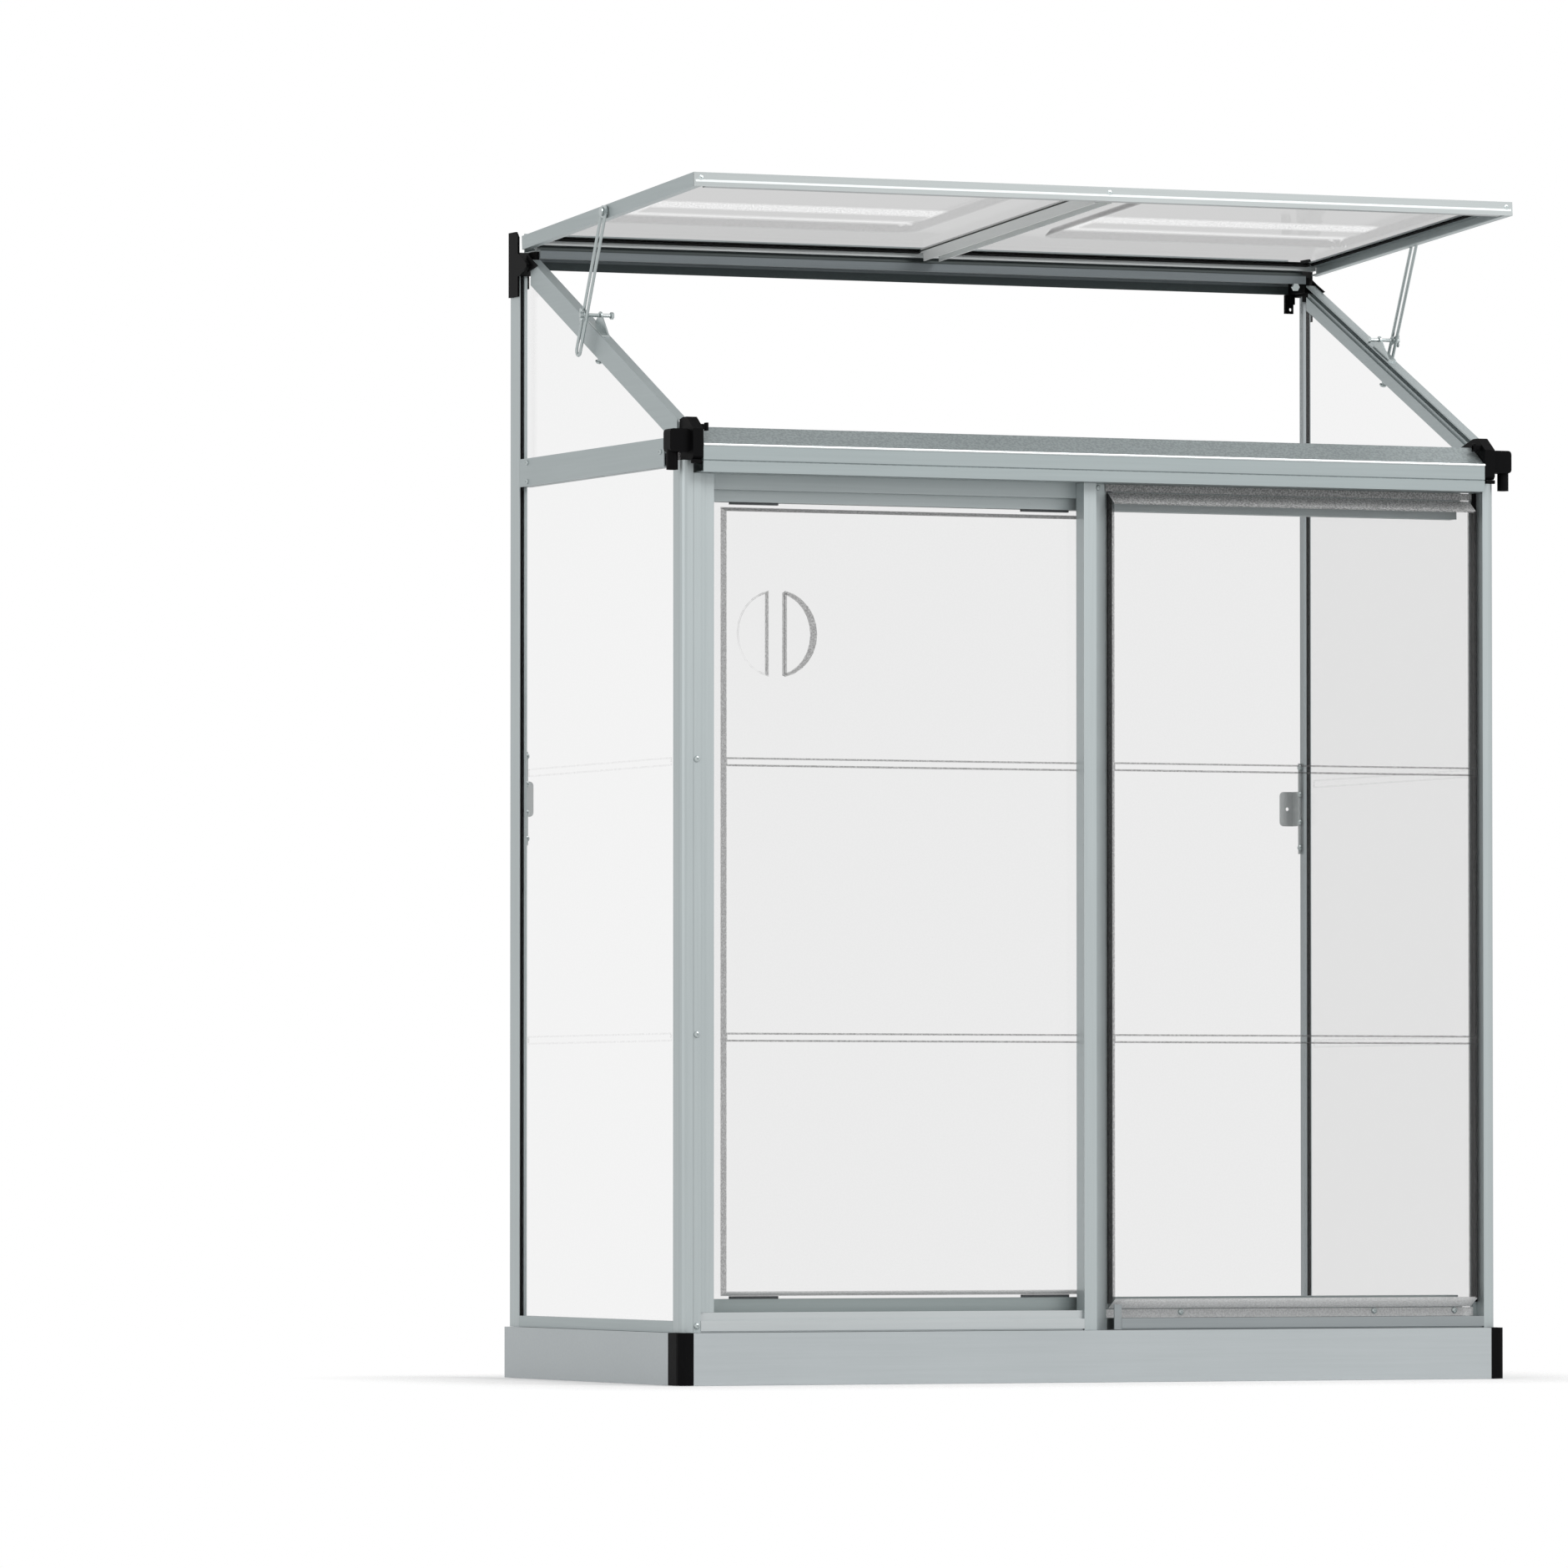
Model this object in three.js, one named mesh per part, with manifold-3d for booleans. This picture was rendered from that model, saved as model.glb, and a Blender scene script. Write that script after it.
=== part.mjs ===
import * as THREE from 'three';
import { mergeVertices } from 'three/addons/utils/BufferGeometryUtils.js';
import Module from 'manifold-3d';

const wasm = await Module();
wasm.setup();

// Lengths are millimetres. X runs along the wall, Y runs from the front (0) to the wall, Z is up.
// Shapes are made for the right side and turned over for the left side.

// Driving sizes: the posts' outer faces, the wall, the base, the eave and the ribs
const postOuter = 608;
const wallPlane = 622;
const baseHeight = 70;
const eaveBottom = 1219.3;
const ribLow = 459;
const ribHigh = 828;

// Shared sizes
const wall = 1.6;
const sheet = 1.6;
const gap = 0.3;
const panelPlay = 0.4;
const backFace = wallPlane - gap;
const deck = baseHeight + gap;
const cornerSteps = 4;
const ringSides = 16;
const wireSides = 8;
const bendSteps = 8;
const screwSides = 12;
const overrun = 20;
const mergeStep = 0.001;
const axesPerPoint = 3;

// Base skirt
const baseSheet = 1.5;
const baseOverhang = 8;
const baseHalfWidth = postOuter + baseOverhang;
const baseCornerLength = 21;
const baseCornerInner = baseHalfWidth - baseCornerLength;
const baseFrontHalf = baseCornerInner - gap;
const baseCornerBack = 38;
const baseCornerRadius = 10;
const baseCornerWall = 3;
const baseFlangeDepth = 76;
const baseFootFlange = 25;
const baseSideFlange = 28;
const baseLegLength = 35;
const baseLegWall = 6;

// Posts
const postWidth = 18;
const postInner = postOuter - postWidth;
const postFront = 13;
const postDepth = 25;
const postBack = postFront + postDepth;
const postLip = 2;
const postLipBack = postBack + postLip;
const postCornerRadius = 9;
const postFlange = 9;
const postFlangeInner = postInner - postFlange;
const centreLeft = -15;
const centreNose = 18.4;
const centreNoseRight = centreLeft + centreNose;
const centreFlange = 26;
const centreFlangeRight = centreNoseRight + centreFlange;
const centreTop = eaveBottom - gap;
const rearPostDepth = 33.2;
const rearPostFront = backFace - rearPostDepth;
const rearPostWidth = 11.5;
const rearPostInner = postOuter - rearPostWidth;
const rearPostOuterWall = 1.2;
const rearSlotDepth = 5.9;
const rearSlotBack = rearPostFront + rearSlotDepth;
const rearBlockBack = rearSlotBack + wall;

// Side glazing
const sidePanelInset = 6.8;
const sidePanelInner = postOuter - sidePanelInset;
const sidePanelHold = 8;
const sidePanelFront = postBack - sidePanelHold;
const sidePanelBack = rearSlotBack - gap;
const slotInner = sidePanelInner - gap;
const slotOuter = sidePanelInner + sheet + gap;
const sideRailWidth = 14;
const sideRailInner = postOuter - sideRailWidth;
const sideRailHeight = 15.2;
const sideRailTop = deck + sideRailHeight;
const sideRailFront = postLipBack + gap;
const midRailInner = postInner;
const midRailRise = 10.5;
const midRailBottom = eaveBottom + midRailRise;
const midRailHeight = 38.4;
const midRailTop = midRailBottom + midRailHeight;
const ribWidth = 12;
const ribSlope = 2.5;
const sideRibHeight = 1;
const sealWidth = 3.4;

// Roof edge
const roofRiseShare = 0.481;
const roofCosine = 1 / Math.hypot(1, roofRiseShare);
const rafterFront = postLipBack;
const rafterFootRise = 73.124;
const rafterFootZ = eaveBottom + rafterFootRise;
const rafterInset = 5.4;
const rafterOuter = postOuter - rafterInset;
const rafterWidth = 14.3;
const rafterInner = rafterOuter - rafterWidth;
const rafterDepth = 32;
const rafterWeb = 2;
const rafterGroove = 10;
const rafterStepDrop = 15;
const rafterStepIn = 3;
const ridgeDepth = 60;
const ridgeFront = wallPlane - ridgeDepth;
const rafterBack = ridgeFront - gap;
const ridgeHalf = rafterInner - gap;
const ridgeRise = 14.494;
const ridgeTop = rafterFootZ + roofRiseShare * (ridgeFront - rafterFront) + ridgeRise;
const ridgeFaceHeight = 12.5;
const ridgeFaceBottom = ridgeTop - ridgeFaceHeight;
const ridgeHeight = 24;
const ridgeBottom = ridgeTop - ridgeHeight;
const ridgeWallRise = 26;
const ridgeWallTop = ridgeTop + ridgeWallRise;
const ridgeWall = 2;
const ridgeLip = 5;
const rearPostDrop = 4;
const rearPostTop = ridgeBottom - rearPostDrop;

// Hinge line of the lid
const hingeSetback = 16.5;
const hingeY = ridgeFront + hingeSetback;
const hingeRise = 11;
const hingeZ = ridgeTop + hingeRise;
const beadRadius = 4.7;
const cradlePlay = 0.5;
const cradleInner = beadRadius + cradlePlay;
const cradleOuter = cradleInner + ridgeWall;
const cradleStart = 232 * Math.PI / 180;
const cradleEnd = 480 * Math.PI / 180;
const cradleFoot = 300 * Math.PI / 180;
const cradleSteps = 9;
const fullTurn = 2 * Math.PI;
const halfTurn = Math.PI;
const quarterTurn = Math.PI / 2;

// Ridge connectors
const connectorPlate = 3;
const connectorInner = postOuter + gap;
const connectorOuter = connectorInner + connectorPlate;
const connectorPlateDepth = 33.7;
const connectorPlateFront = backFace - connectorPlateDepth;
const connectorPlateDrop = 40;
const connectorPlateBottom = ridgeBottom - connectorPlateDrop;
const connectorPlateTop = ridgeWallTop;
const connectorBevel = 8;
const connectorBodyDrop = 3;
const connectorBodyTop = ridgeTop - connectorBodyDrop;
const connectorWingReach = 6;
const connectorWingFront = ridgeFront - connectorWingReach;
const connectorWingDrop = 21;
const connectorWingTop = ridgeTop - connectorWingDrop;
const connectorWingEdge = 4;
const connectorWingLow = connectorWingTop - connectorWingEdge;
const connectorWingSlope = 11;
const connectorWingBottom = connectorWingLow - connectorWingSlope;
const connectorWingFoot = 8;
const connectorWingKnee = connectorPlateFront - connectorWingFoot;
const connectorInsideSetback = 4;
const connectorInsideFront = ridgeFront + connectorInsideSetback;
const connectorInside = ridgeHalf + gap;
const connectorStepIn = 2;
const connectorTopStep = connectorPlateFront + connectorStepIn;
const tabReach = 6;
const tabInner = ridgeHalf - tabReach;
const tabWidth = 13.2;
const tabOuter = tabInner + tabWidth;
const tabDrop = 27;
const tabBottom = ridgeBottom - tabDrop;
const tabTop = ridgeBottom - gap;
const tabThickness = 4.4;
const tabLinkDepth = 9.4;
const tabLinkFront = backFace - tabLinkDepth;
const tabHoleIn = 9;
const tabHoleX = tabInner + tabHoleIn;
const tabHoleUp = 6;
const tabHoleZ = tabBottom + tabHoleUp;
const tabHoleRadius = 2.6;

// Eave rail
const headWidth = 15;
const headInset = 9;
const headOuter = postOuter - headInset;
const headInner = headOuter - headWidth;
const eaveHalf = headInner - gap;
const eaveFront = -7;
const eaveFaceHeight = 36.7;
const eaveLip = eaveBottom + eaveFaceHeight;
const eaveSlopeRise = 26;
const eaveRearTop = eaveLip + eaveSlopeRise;
const eaveDepth = 41.8;
const eaveRearFace = eaveFront + eaveDepth;
const eaveWall = 1.8;
const eaveGrooveRise = 15.7;
const eaveGrooveZ = eaveBottom + eaveGrooveRise;
const eaveGrooveDepth = 1;
const eaveFootFlange = 9;
const eaveSlotFront = eaveFront + eaveFootFlange;
const eaveSlotWidth = 4;
const eaveSlotBack = eaveSlotFront + eaveSlotWidth;

// Gutter heads
const headProud = 0.4;
const headFront = eaveFront - headProud;
const headSeatRise = 16.7;
const headSeat = eaveBottom + headSeatRise;
const headNoseRise = 4;
const headNose = headSeat + headNoseRise;
const headFaceHeight = 37;
const headShoulder = headNose + headFaceHeight;
const headPeakSetback = 23;
const headPeakFront = headFront + headPeakSetback;
const headPeakWidth = 14;
const headPeakBack = headPeakFront + headPeakWidth;
const headPeakRise = 17;
const headPeak = headShoulder + headPeakRise;
const headBackDrop = 11;
const headBackTop = headPeak - headBackDrop;
const headSeatBack = postLipBack + gap + gap;
const headSkirt = 9;
const headLow = headSeat - headSkirt;
const headChin = 4;
const boxWidth = 30;
const boxOuter = headOuter + boxWidth;
const boxFront = 1;
const boxDepth = 23;
const boxBack = boxFront + boxDepth;
const boxRise = 10;
const boxBottom = headSeat + boxRise;
const boxTop = headShoulder;
const boxCorner = 5;
const spoutRadius = 7.8;
const spoutWall = 2;
const spoutBore = spoutRadius - spoutWall;
const spoutX = boxOuter - spoutRadius;
const spoutSetback = 11.3;
const spoutY = boxFront + spoutSetback;
const spoutLength = 24;
const spoutBottom = boxBottom - spoutLength;
const spoutDepth = 45;

// Pieces that end against the gutter heads and ridge connectors
const postTop = headSeat - gap;
const trackFront = 50;
const trackDepth = 22;
const trackBack = trackFront + trackDepth;
const headBack = trackBack;
const midRailFront = headBack + gap;
const gablePanelInset = 13.4;
const gablePanelInner = postOuter - gablePanelInset;
const gableFrontPlay = 2;
const gablePanelFront = headBack + gableFrontPlay;
const gablePanelBack = rearSlotBack - gap;
const gablePanelDrop = 10.5;
const gablePanelTop = rearPostTop - gablePanelDrop;
const gableOverlap = 13;
const gableSlotDepth = 7;

// Door glides and tracks
const trackInset = 21.3;
const trackHalf = postInner - trackInset;
const glideSetback = 8;
const glideFront = trackFront + glideSetback;
const glideDepth = 6;
const glideBack = glideFront + glideDepth;
const trackSlotFront = glideFront - gap;
const trackSlotBack = glideBack + gap;
const topTrackRise = 1.9;
const topTrackRoof = eaveBottom + topTrackRise;
const topTrackFlange = 23.8;
const topTrackFlangeTop = topTrackRoof + topTrackFlange;
const topTrackFlangeFront = eaveRearFace + gap;
const topTrackBand = 22.2;
const topTrackStep = topTrackRoof - topTrackBand;
const topTrackLip = 15.5;
const topTrackBottom = topTrackStep - topTrackLip;
const topTrackStepFront = postBack + gap + gap;
const bottomTrackHeight = 44.1;
const bottomTrackTop = deck + bottomTrackHeight;
const bottomTrackFloorRise = 31.3;
const bottomTrackFloor = deck + bottomTrackFloorRise;

// Sills and jamb
const sillProud = 0.5;
const sillFront = postFront - sillProud;
const sillFootSetback = 3.5;
const sillFootFront = sillFront + sillFootSetback;
const sillFootHeight = 2.1;
const sillFootTop = deck + sillFootHeight;
const sillHeight = 15.7;
const sillShelf = deck + sillHeight;
const sillLipHeight = 11;
const sillLip = sillShelf + sillLipHeight;
const sillLipSetback = 5.5;
const sillLipFront = sillFront + sillLipSetback;
const sillBack = trackFront - gap;
const sillPanelBack = postBack;
const sillPanelHeight = 19;
const sillPanelTop = sillShelf + sillPanelHeight;
const sillRightSetback = 10.9;
const sillRightStart = centreFlangeRight + sillRightSetback;
const sillRearRoom = 2;
const sillRearLimit = postBack - sillRearRoom;
const jambWidth = 32;
const jambInner = postInner - jambWidth;
const jambFaceWidth = 11;
const jambStepOne = postInner - jambFaceWidth;
const jambStepWidth = 6;
const jambStepTwo = jambStepOne - jambStepWidth;
const jambStepDepth = 2.5;
const jambBack = postBack - wall - gap;
const jambTop = eaveBottom - panelPlay;
const jambNotchTop = sillLip + gap;

// Formed panels in the front
const frontRibHeight = 2;
const fixedFlangeFront = postBack - wall - panelPlay - sheet;
const fixedFaceFront = postFront;
const fixedHold = 2.1;
const fixedLeft = centreFlangeRight - fixedHold;
const fixedRimLeft = 2.7;
const fixedTrayLeft = fixedLeft + fixedRimLeft;
const fixedRightHold = 3;
const fixedRight = postFlangeInner + fixedRightHold;
const fixedRimRight = 4;
const fixedTrayRight = fixedRight - fixedRimRight;
const fixedTop = eaveBottom - panelPlay - gap;
const fixedBottom = sillShelf + gap;
const fixedRimTop = 9.6;
const fixedTrayTop = fixedTop - fixedRimTop;
const fixedSlopeTop = 16;
const fixedFaceTop = fixedTrayTop - fixedSlopeTop;
const fixedRimBottom = 11.7;
const fixedTrayBottom = fixedBottom + fixedRimBottom;
const fixedSlopeBottom = 12.7;
const fixedFaceBottom = fixedTrayBottom + fixedSlopeBottom;
const fixedSealLap = 2.4;
const fixedSealFront = fixedFlangeFront - fixedSealLap;
const fixedSealBack = postBack;
const fixedSealWidth = 8.2;
const fixedSealRight = postInner - gap;
const doorFlangeSetback = 2;
const doorFlangeFront = glideFront + doorFlangeSetback;
const doorTrayDepth = 20;
const doorFaceFront = doorFlangeFront - doorTrayDepth;
const doorEdgeSetback = 2;
const doorLeft = doorEdgeSetback - jambInner;
const doorLap = 59;
const doorRight = centreLeft + doorLap;
const doorStile = 25;
const doorTrayLeft = doorLeft + doorStile;
const doorTrayRight = doorRight - doorStile;
const doorBottomHold = 1.9;
const doorBottom = bottomTrackTop - doorBottomHold;
const doorTopHold = 4.5;
const doorTop = topTrackBottom + doorTopHold;
const doorTopPlay = 6.5;
const doorTrayTop = topTrackBottom - doorTopPlay;
const doorSlope = 5;
const doorFaceTop = doorTrayTop - doorSlope;
const doorBottomPlay = 3.6;
const doorTrayBottom = bottomTrackTop + doorBottomPlay;
const doorFaceBottom = doorTrayBottom + doorSlope;

// Door pull and glides
const pullSetback = 75;
const pullX = doorTrayLeft + pullSetback;
const pullDrop = 165;
const pullZ = doorFaceTop - pullDrop;
const pullRadius = 58;
const pullBarHalf = 13.8;
const pullDepth = 11;
const pullBackShare = 0.875;
const pullHeightShare = 0.95;
const pullSteps = 12;
const glideLength = 70;
const glideLeftSetback = 39;
const glideLeft = doorLeft + glideLeftSetback;
const glideRightSetback = 61;
const glideRight = doorRight - glideRightSetback - glideLength;
const glideShow = 3;
const glideTopLow = topTrackBottom - glideShow;
const glideCap = 4;
const glideTopHigh = doorTop + glideCap;
const glideBottomLow = bottomTrackFloor + gap;
const glideBottomHigh = doorTrayBottom;
const glideSlotFront = doorFlangeFront - gap;
const glideSlotBack = doorFlangeFront + sheet + gap;

// Lid, drawn flat about its hinge line and then raised to the open position
const lidTilt = 3.8 * Math.PI / 180;
const lidOverhang = 3;
const lidHalf = postOuter + lidOverhang;
const lidFrontOverhang = 39.8;
const lidFront = -hingeY - lidFrontOverhang;
const lidRailTop = 7.3;
const lidRailBottom = -11.7;
const lidPanelLow = 3;
const lidCapLow = lidPanelLow + sheet + gap;
const lidLedgeTop = lidPanelLow - gap;
const lidLedgeLow = lidLedgeTop - wall;
const lidFrontCapWidth = 20.3;
const lidFrontCap = lidFront + lidFrontCapWidth;
const lidFrontLedgeWidth = 16.3;
const lidFrontLedge = lidFront + lidFrontLedgeWidth;
const lidFrontFootWidth = 12.3;
const lidFrontFoot = lidFront + lidFrontFootWidth;
const lidSideFront = lidFront + wall + gap;
const lidBarFront = lidFrontCap + gap;
const lidSideBack = -5.3;
const lidSideCapWidth = 17;
const lidSideCap = lidHalf - lidSideCapWidth;
const lidSideLedgeWidth = 14;
const lidSideLedge = lidHalf - lidSideLedgeWidth;
const lidSideFootWidth = 11;
const lidSideFoot = lidHalf - lidSideFootWidth;
const lidCornerInner = lidSideCap - gap;
const neckHalf = 1.5;
const neckFront = -8;
const rearWebLow = -4.7;
const rearRailInset = 4;
const rearRailHalf = lidHalf - rearRailInset;
const lidBarHalf = 12.5;
const lidBarWeb = 1;
const lidBarBack = neckFront - wall - gap;
const lidBarRelief = -26;
const lidPanelBack = -12.3;
const lidPanelInner = lidBarWeb + gap;
const lidPanelOuter = lidHalf - wall - gap;
const lidTraySide = 42;
const lidTrayBar = 42;
const lidTrayFrontSetback = 46.3;
const lidTrayFront = lidFront + lidTrayFrontSetback;
const lidTrayBack = -48;
const lidTrayCorner = 26;
const lidTrayStep = 14;
const lidTrayLow = 9;
const lidTrayHigh = 14.2;
const lidSealBack = neckFront - wall - gap;
const lidSealDepth = 7.1;
const lidSealFront = lidSealBack - lidSealDepth;
const lidSealLow = 1;
const lidSealHigh = 6.6;
const lidSealRoot = lidPanelBack + gap;
const lidSealSide = lidSideCap - gap;
const lidSealBar = lidBarHalf + gap;

// Wire stays
const stayReach = 3.5;
const stayPlane = lidHalf + stayReach;
const wireRadius = 2.3;
const wireHalfSpacing = 6.75;
const stayPivotAlong = -311;
const stayPivotUp = -2.5;
const pivotShank = 3.2;
const eyePlay = 0.4;
const eyeInner = pivotShank + eyePlay;
const eyeOuter = 8.6;
const pivotHead = 6;
const pivotHeadLength = 2.6;
const boltSetback = 243.5;
const boltY = hingeY - boltSetback;
const boltRise = 16.681;
const boltZ = rafterFootZ + roofRiseShare * (boltY - rafterFront) + boltRise;
const stayPivotY = hingeY + stayPivotAlong * Math.cos(lidTilt) + stayPivotUp * Math.sin(lidTilt);
const stayPivotZ = hingeZ - stayPivotAlong * Math.sin(lidTilt) + stayPivotUp * Math.cos(lidTilt);
const stayTurn = Math.atan2(stayPivotZ - boltZ, boltY - stayPivotY);
const stayTail = 52.3;
const stayLength = Math.hypot(stayPivotZ - boltZ, boltY - stayPivotY) + stayTail;
const boltRadius = 2.6;
const boltNutRadius = 5;
const boltNutLength = 4;
const earStepIn = 2.3;
const earInner = rafterInner + earStepIn;
const earThickness = 2.4;
const earRadius = 5.4;
const boltReach = 17.6;
const boltInner = earInner - boltReach;
const boltShow = 0.5;
const boltOuter = earInner + earThickness + boltShow;
const earFootReach = 31;
const earFootFront = boltY - earFootReach;
const earFootHeel = 17;
const earFootBack = boltY + earFootHeel;
const earFootHeight = 2;
const earFootWidth = rafterOuter - gap - earInner;
const nutSides = 6;

// Wall brackets
const stripInside = 4.8;
const stripInner = rearPostInner - stripInside;
const stripWidth = 10.3;
const stripOuter = stripInner + stripWidth;
const stripLow = 735;
const stripHeight = 129;
const stripHigh = stripLow + stripHeight;
const bracketRise = 40;
const bracketLow = stripLow + bracketRise;
const bracketHeight = 49;
const bracketHigh = bracketLow + bracketHeight;
const webSetback = 1.3;
const bracketWebOuter = rearPostInner - webSetback;
const plateWidth = 21.2;
const plateInner = bracketWebOuter - plateWidth;
const plateCorner = 6;
const plateHoleIn = 11.6;
const plateHoleX = plateInner + plateHoleIn;
const plateHoleRadius = 2.6;

// Solids
function tidy(geometry) {
  const bare = geometry.clone();
  bare.deleteAttribute('normal');
  bare.deleteAttribute('uv');
  return mergeVertices(bare, mergeStep);
}

function toSolid(geometry) {
  const merged = tidy(geometry);
  return new wasm.Manifold(new wasm.Mesh({
    numProp: axesPerPoint,
    vertProperties: Float32Array.from(merged.attributes.position.array),
    triVerts: Uint32Array.from(merged.index.array),
  }));
}

function fromSolid(solid) {
  const mesh = solid.getMesh();
  const geometry = new THREE.BufferGeometry();
  geometry.setAttribute('position', new THREE.BufferAttribute(mesh.vertProperties, mesh.numProp));
  geometry.setIndex(new THREE.BufferAttribute(mesh.triVerts, 1));
  return geometry;
}

function join(...geometries) {
  return fromSolid(geometries.map(toSolid).reduce((whole, next) => whole.add(next)));
}

function cut(geometry, ...tools) {
  return fromSolid(tools.map(toSolid).reduce((rest, tool) => rest.subtract(tool), toSolid(geometry)));
}

function mirrored(geometry) {
  const flipped = tidy(geometry);
  flipped.scale(-1, 1, 1);
  const order = flipped.index.array;
  for (let corner = 0; corner < order.length; corner += axesPerPoint) {
    [order[corner], order[corner + 1]] = [order[corner + 1], order[corner]];
  }
  return flipped;
}

function extruded(outline, length) {
  const shape = new THREE.Shape(outline.map(([a, b]) => new THREE.Vector2(a, b)));
  return new THREE.ExtrudeGeometry(shape, { depth: length, bevelEnabled: false });
}

// Outline points are [y, z]
function alongX(outline, from, to) {
  const basis = new THREE.Matrix4().makeBasis(
    new THREE.Vector3(0, 1, 0), new THREE.Vector3(0, 0, 1), new THREE.Vector3(1, 0, 0));
  return extruded(outline, to - from).applyMatrix4(basis).translate(from, 0, 0);
}

// Outline points are [x, z]
function alongY(outline, from, to) {
  const basis = new THREE.Matrix4().makeBasis(
    new THREE.Vector3(1, 0, 0), new THREE.Vector3(0, 0, 1), new THREE.Vector3(0, -1, 0));
  return extruded(outline, to - from).applyMatrix4(basis).translate(0, to, 0);
}

// Outline points are [x, y]
function alongZ(outline, from, to) {
  return extruded(outline, to - from).translate(0, 0, from);
}

function block(xs, ys, zs) {
  const size = [xs, ys, zs].map(([low, high]) => high - low);
  const middle = [xs, ys, zs].map(([low, high]) => (low + high) / 2);
  return new THREE.BoxGeometry(...size).translate(...middle);
}

function rodAlongX(radius, from, to, y, z, sides) {
  return new THREE.CylinderGeometry(radius, radius, to - from, sides)
    .rotateZ(quarterTurn).translate((from + to) / 2, y, z);
}

function rodAlongY(radius, from, to, x, z, sides) {
  return new THREE.CylinderGeometry(radius, radius, to - from, sides).translate(x, (from + to) / 2, z);
}

function rodAlongZ(radius, from, to, x, y, sides) {
  return new THREE.CylinderGeometry(radius, radius, to - from, sides)
    .rotateX(quarterTurn).translate(x, y, (from + to) / 2);
}

function arc(middle, radius, from, to, steps) {
  const points = [];
  for (let step = 0; step <= steps; step += 1) {
    const angle = from + (to - from) * step / steps;
    points.push([middle[0] + radius * Math.cos(angle), middle[1] + radius * Math.sin(angle)]);
  }
  return points;
}

function roundedRectangle(xs, ys, radius) {
  return [
    ...arc([xs[1] - radius, ys[0] + radius], radius, -quarterTurn, 0, cornerSteps),
    ...arc([xs[1] - radius, ys[1] - radius], radius, 0, quarterTurn, cornerSteps),
    ...arc([xs[0] + radius, ys[1] - radius], radius, quarterTurn, halfTurn, cornerSteps),
    ...arc([xs[0] + radius, ys[0] + radius], radius, halfTurn, halfTurn + quarterTurn, cornerSteps),
  ];
}

// Base skirt
function baseFront() {
  const outline = [
    [0, 0], [0, baseHeight], [baseFlangeDepth, baseHeight], [baseFlangeDepth, baseHeight - baseSheet],
    [baseSheet, baseHeight - baseSheet], [baseSheet, baseSheet], [baseFootFlange, baseSheet],
    [baseFootFlange, 0],
  ];
  return alongX(outline, -baseFrontHalf, baseFrontHalf);
}

function baseSide() {
  const inner = baseHalfWidth - baseSideFlange;
  const outline = [
    [baseHalfWidth, 0], [baseHalfWidth, baseHeight], [inner, baseHeight],
    [inner, baseHeight - baseSheet], [baseHalfWidth - baseSheet, baseHeight - baseSheet],
    [baseHalfWidth - baseSheet, baseSheet], [inner, baseSheet], [inner, 0],
  ];
  const plate = alongY(outline, baseCornerBack + gap, backFace);
  const frontFlange = block([0, baseFrontHalf + gap], [0, baseFlangeDepth + gap], [-overrun, baseHeight + overrun]);
  return cut(plate, frontFlange);
}

function baseCorner() {
  const middle = [baseHalfWidth - baseCornerRadius, baseCornerRadius];
  const outer = alongZ([
    [baseCornerInner, 0],
    ...arc(middle, baseCornerRadius, -quarterTurn, 0, cornerSteps),
    [baseHalfWidth, baseCornerBack], [baseCornerInner, baseCornerBack],
  ], 0, baseHeight);
  const innerRadius = baseCornerRadius - baseCornerWall;
  const hollow = alongZ([
    [baseCornerInner + baseCornerWall, baseCornerWall],
    ...arc(middle, innerRadius, -quarterTurn, 0, cornerSteps),
    [baseHalfWidth - baseCornerWall, baseCornerBack - baseCornerWall],
    [baseCornerInner + baseCornerWall, baseCornerBack - baseCornerWall],
  ], -overrun, baseHeight - baseCornerWall);
  const low = baseSheet + gap;
  const high = baseHeight - low;
  const behind = baseSheet + gap;
  const frontLeg = block(
    [baseCornerInner - baseLegLength, baseCornerInner + baseCornerWall], [behind, behind + baseLegWall], [low, high]);
  const outerFace = baseHalfWidth - behind;
  const sideLeg = block([outerFace - baseLegWall, outerFace],
    [baseCornerBack - baseCornerWall, baseCornerBack + baseLegLength], [low, high]);
  return join(cut(outer, hollow), frontLeg, sideLeg);
}

// Posts
function frontPost() {
  const middle = [postOuter - postCornerRadius, postFront + postCornerRadius];
  const outline = [
    [postInner, postFront],
    ...arc(middle, postCornerRadius, -quarterTurn, 0, cornerSteps),
    [postOuter, postLipBack], [slotOuter, postLipBack], [slotOuter, postLipBack - wall],
    [postOuter - wall, postLipBack - wall],
    ...arc(middle, postCornerRadius - wall, 0, -quarterTurn, cornerSteps),
    [postInner + wall, postFront + wall], [postInner + wall, postBack - wall],
    [slotInner, postBack - wall], [slotInner, postBack], [postFlangeInner, postBack],
    [postFlangeInner, postBack - wall], [postInner, postBack - wall],
  ];
  return alongZ(outline, deck, postTop);
}

function centrePost() {
  const outline = [
    [centreLeft, postFront], [centreNoseRight, postFront], [centreNoseRight, postBack - wall],
    [centreFlangeRight, postBack - wall], [centreFlangeRight, postBack],
    [centreNoseRight - wall, postBack], [centreNoseRight - wall, postFront + wall],
    [centreLeft + wall, postFront + wall], [centreLeft + wall, postBack], [centreLeft, postBack],
  ];
  return alongZ(outline, deck, centreTop);
}

function rearPost() {
  const outerWall = postOuter - rearPostOuterWall;
  const outline = [
    [rearPostInner, rearPostFront], [slotInner, rearPostFront], [slotInner, rearSlotBack],
    [outerWall, rearSlotBack], [outerWall, rearPostFront], [postOuter, rearPostFront], [postOuter, backFace],
    [outerWall, backFace], [outerWall, rearBlockBack], [rearPostInner, rearBlockBack],
  ];
  return alongZ(outline, deck, rearPostTop);
}

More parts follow.
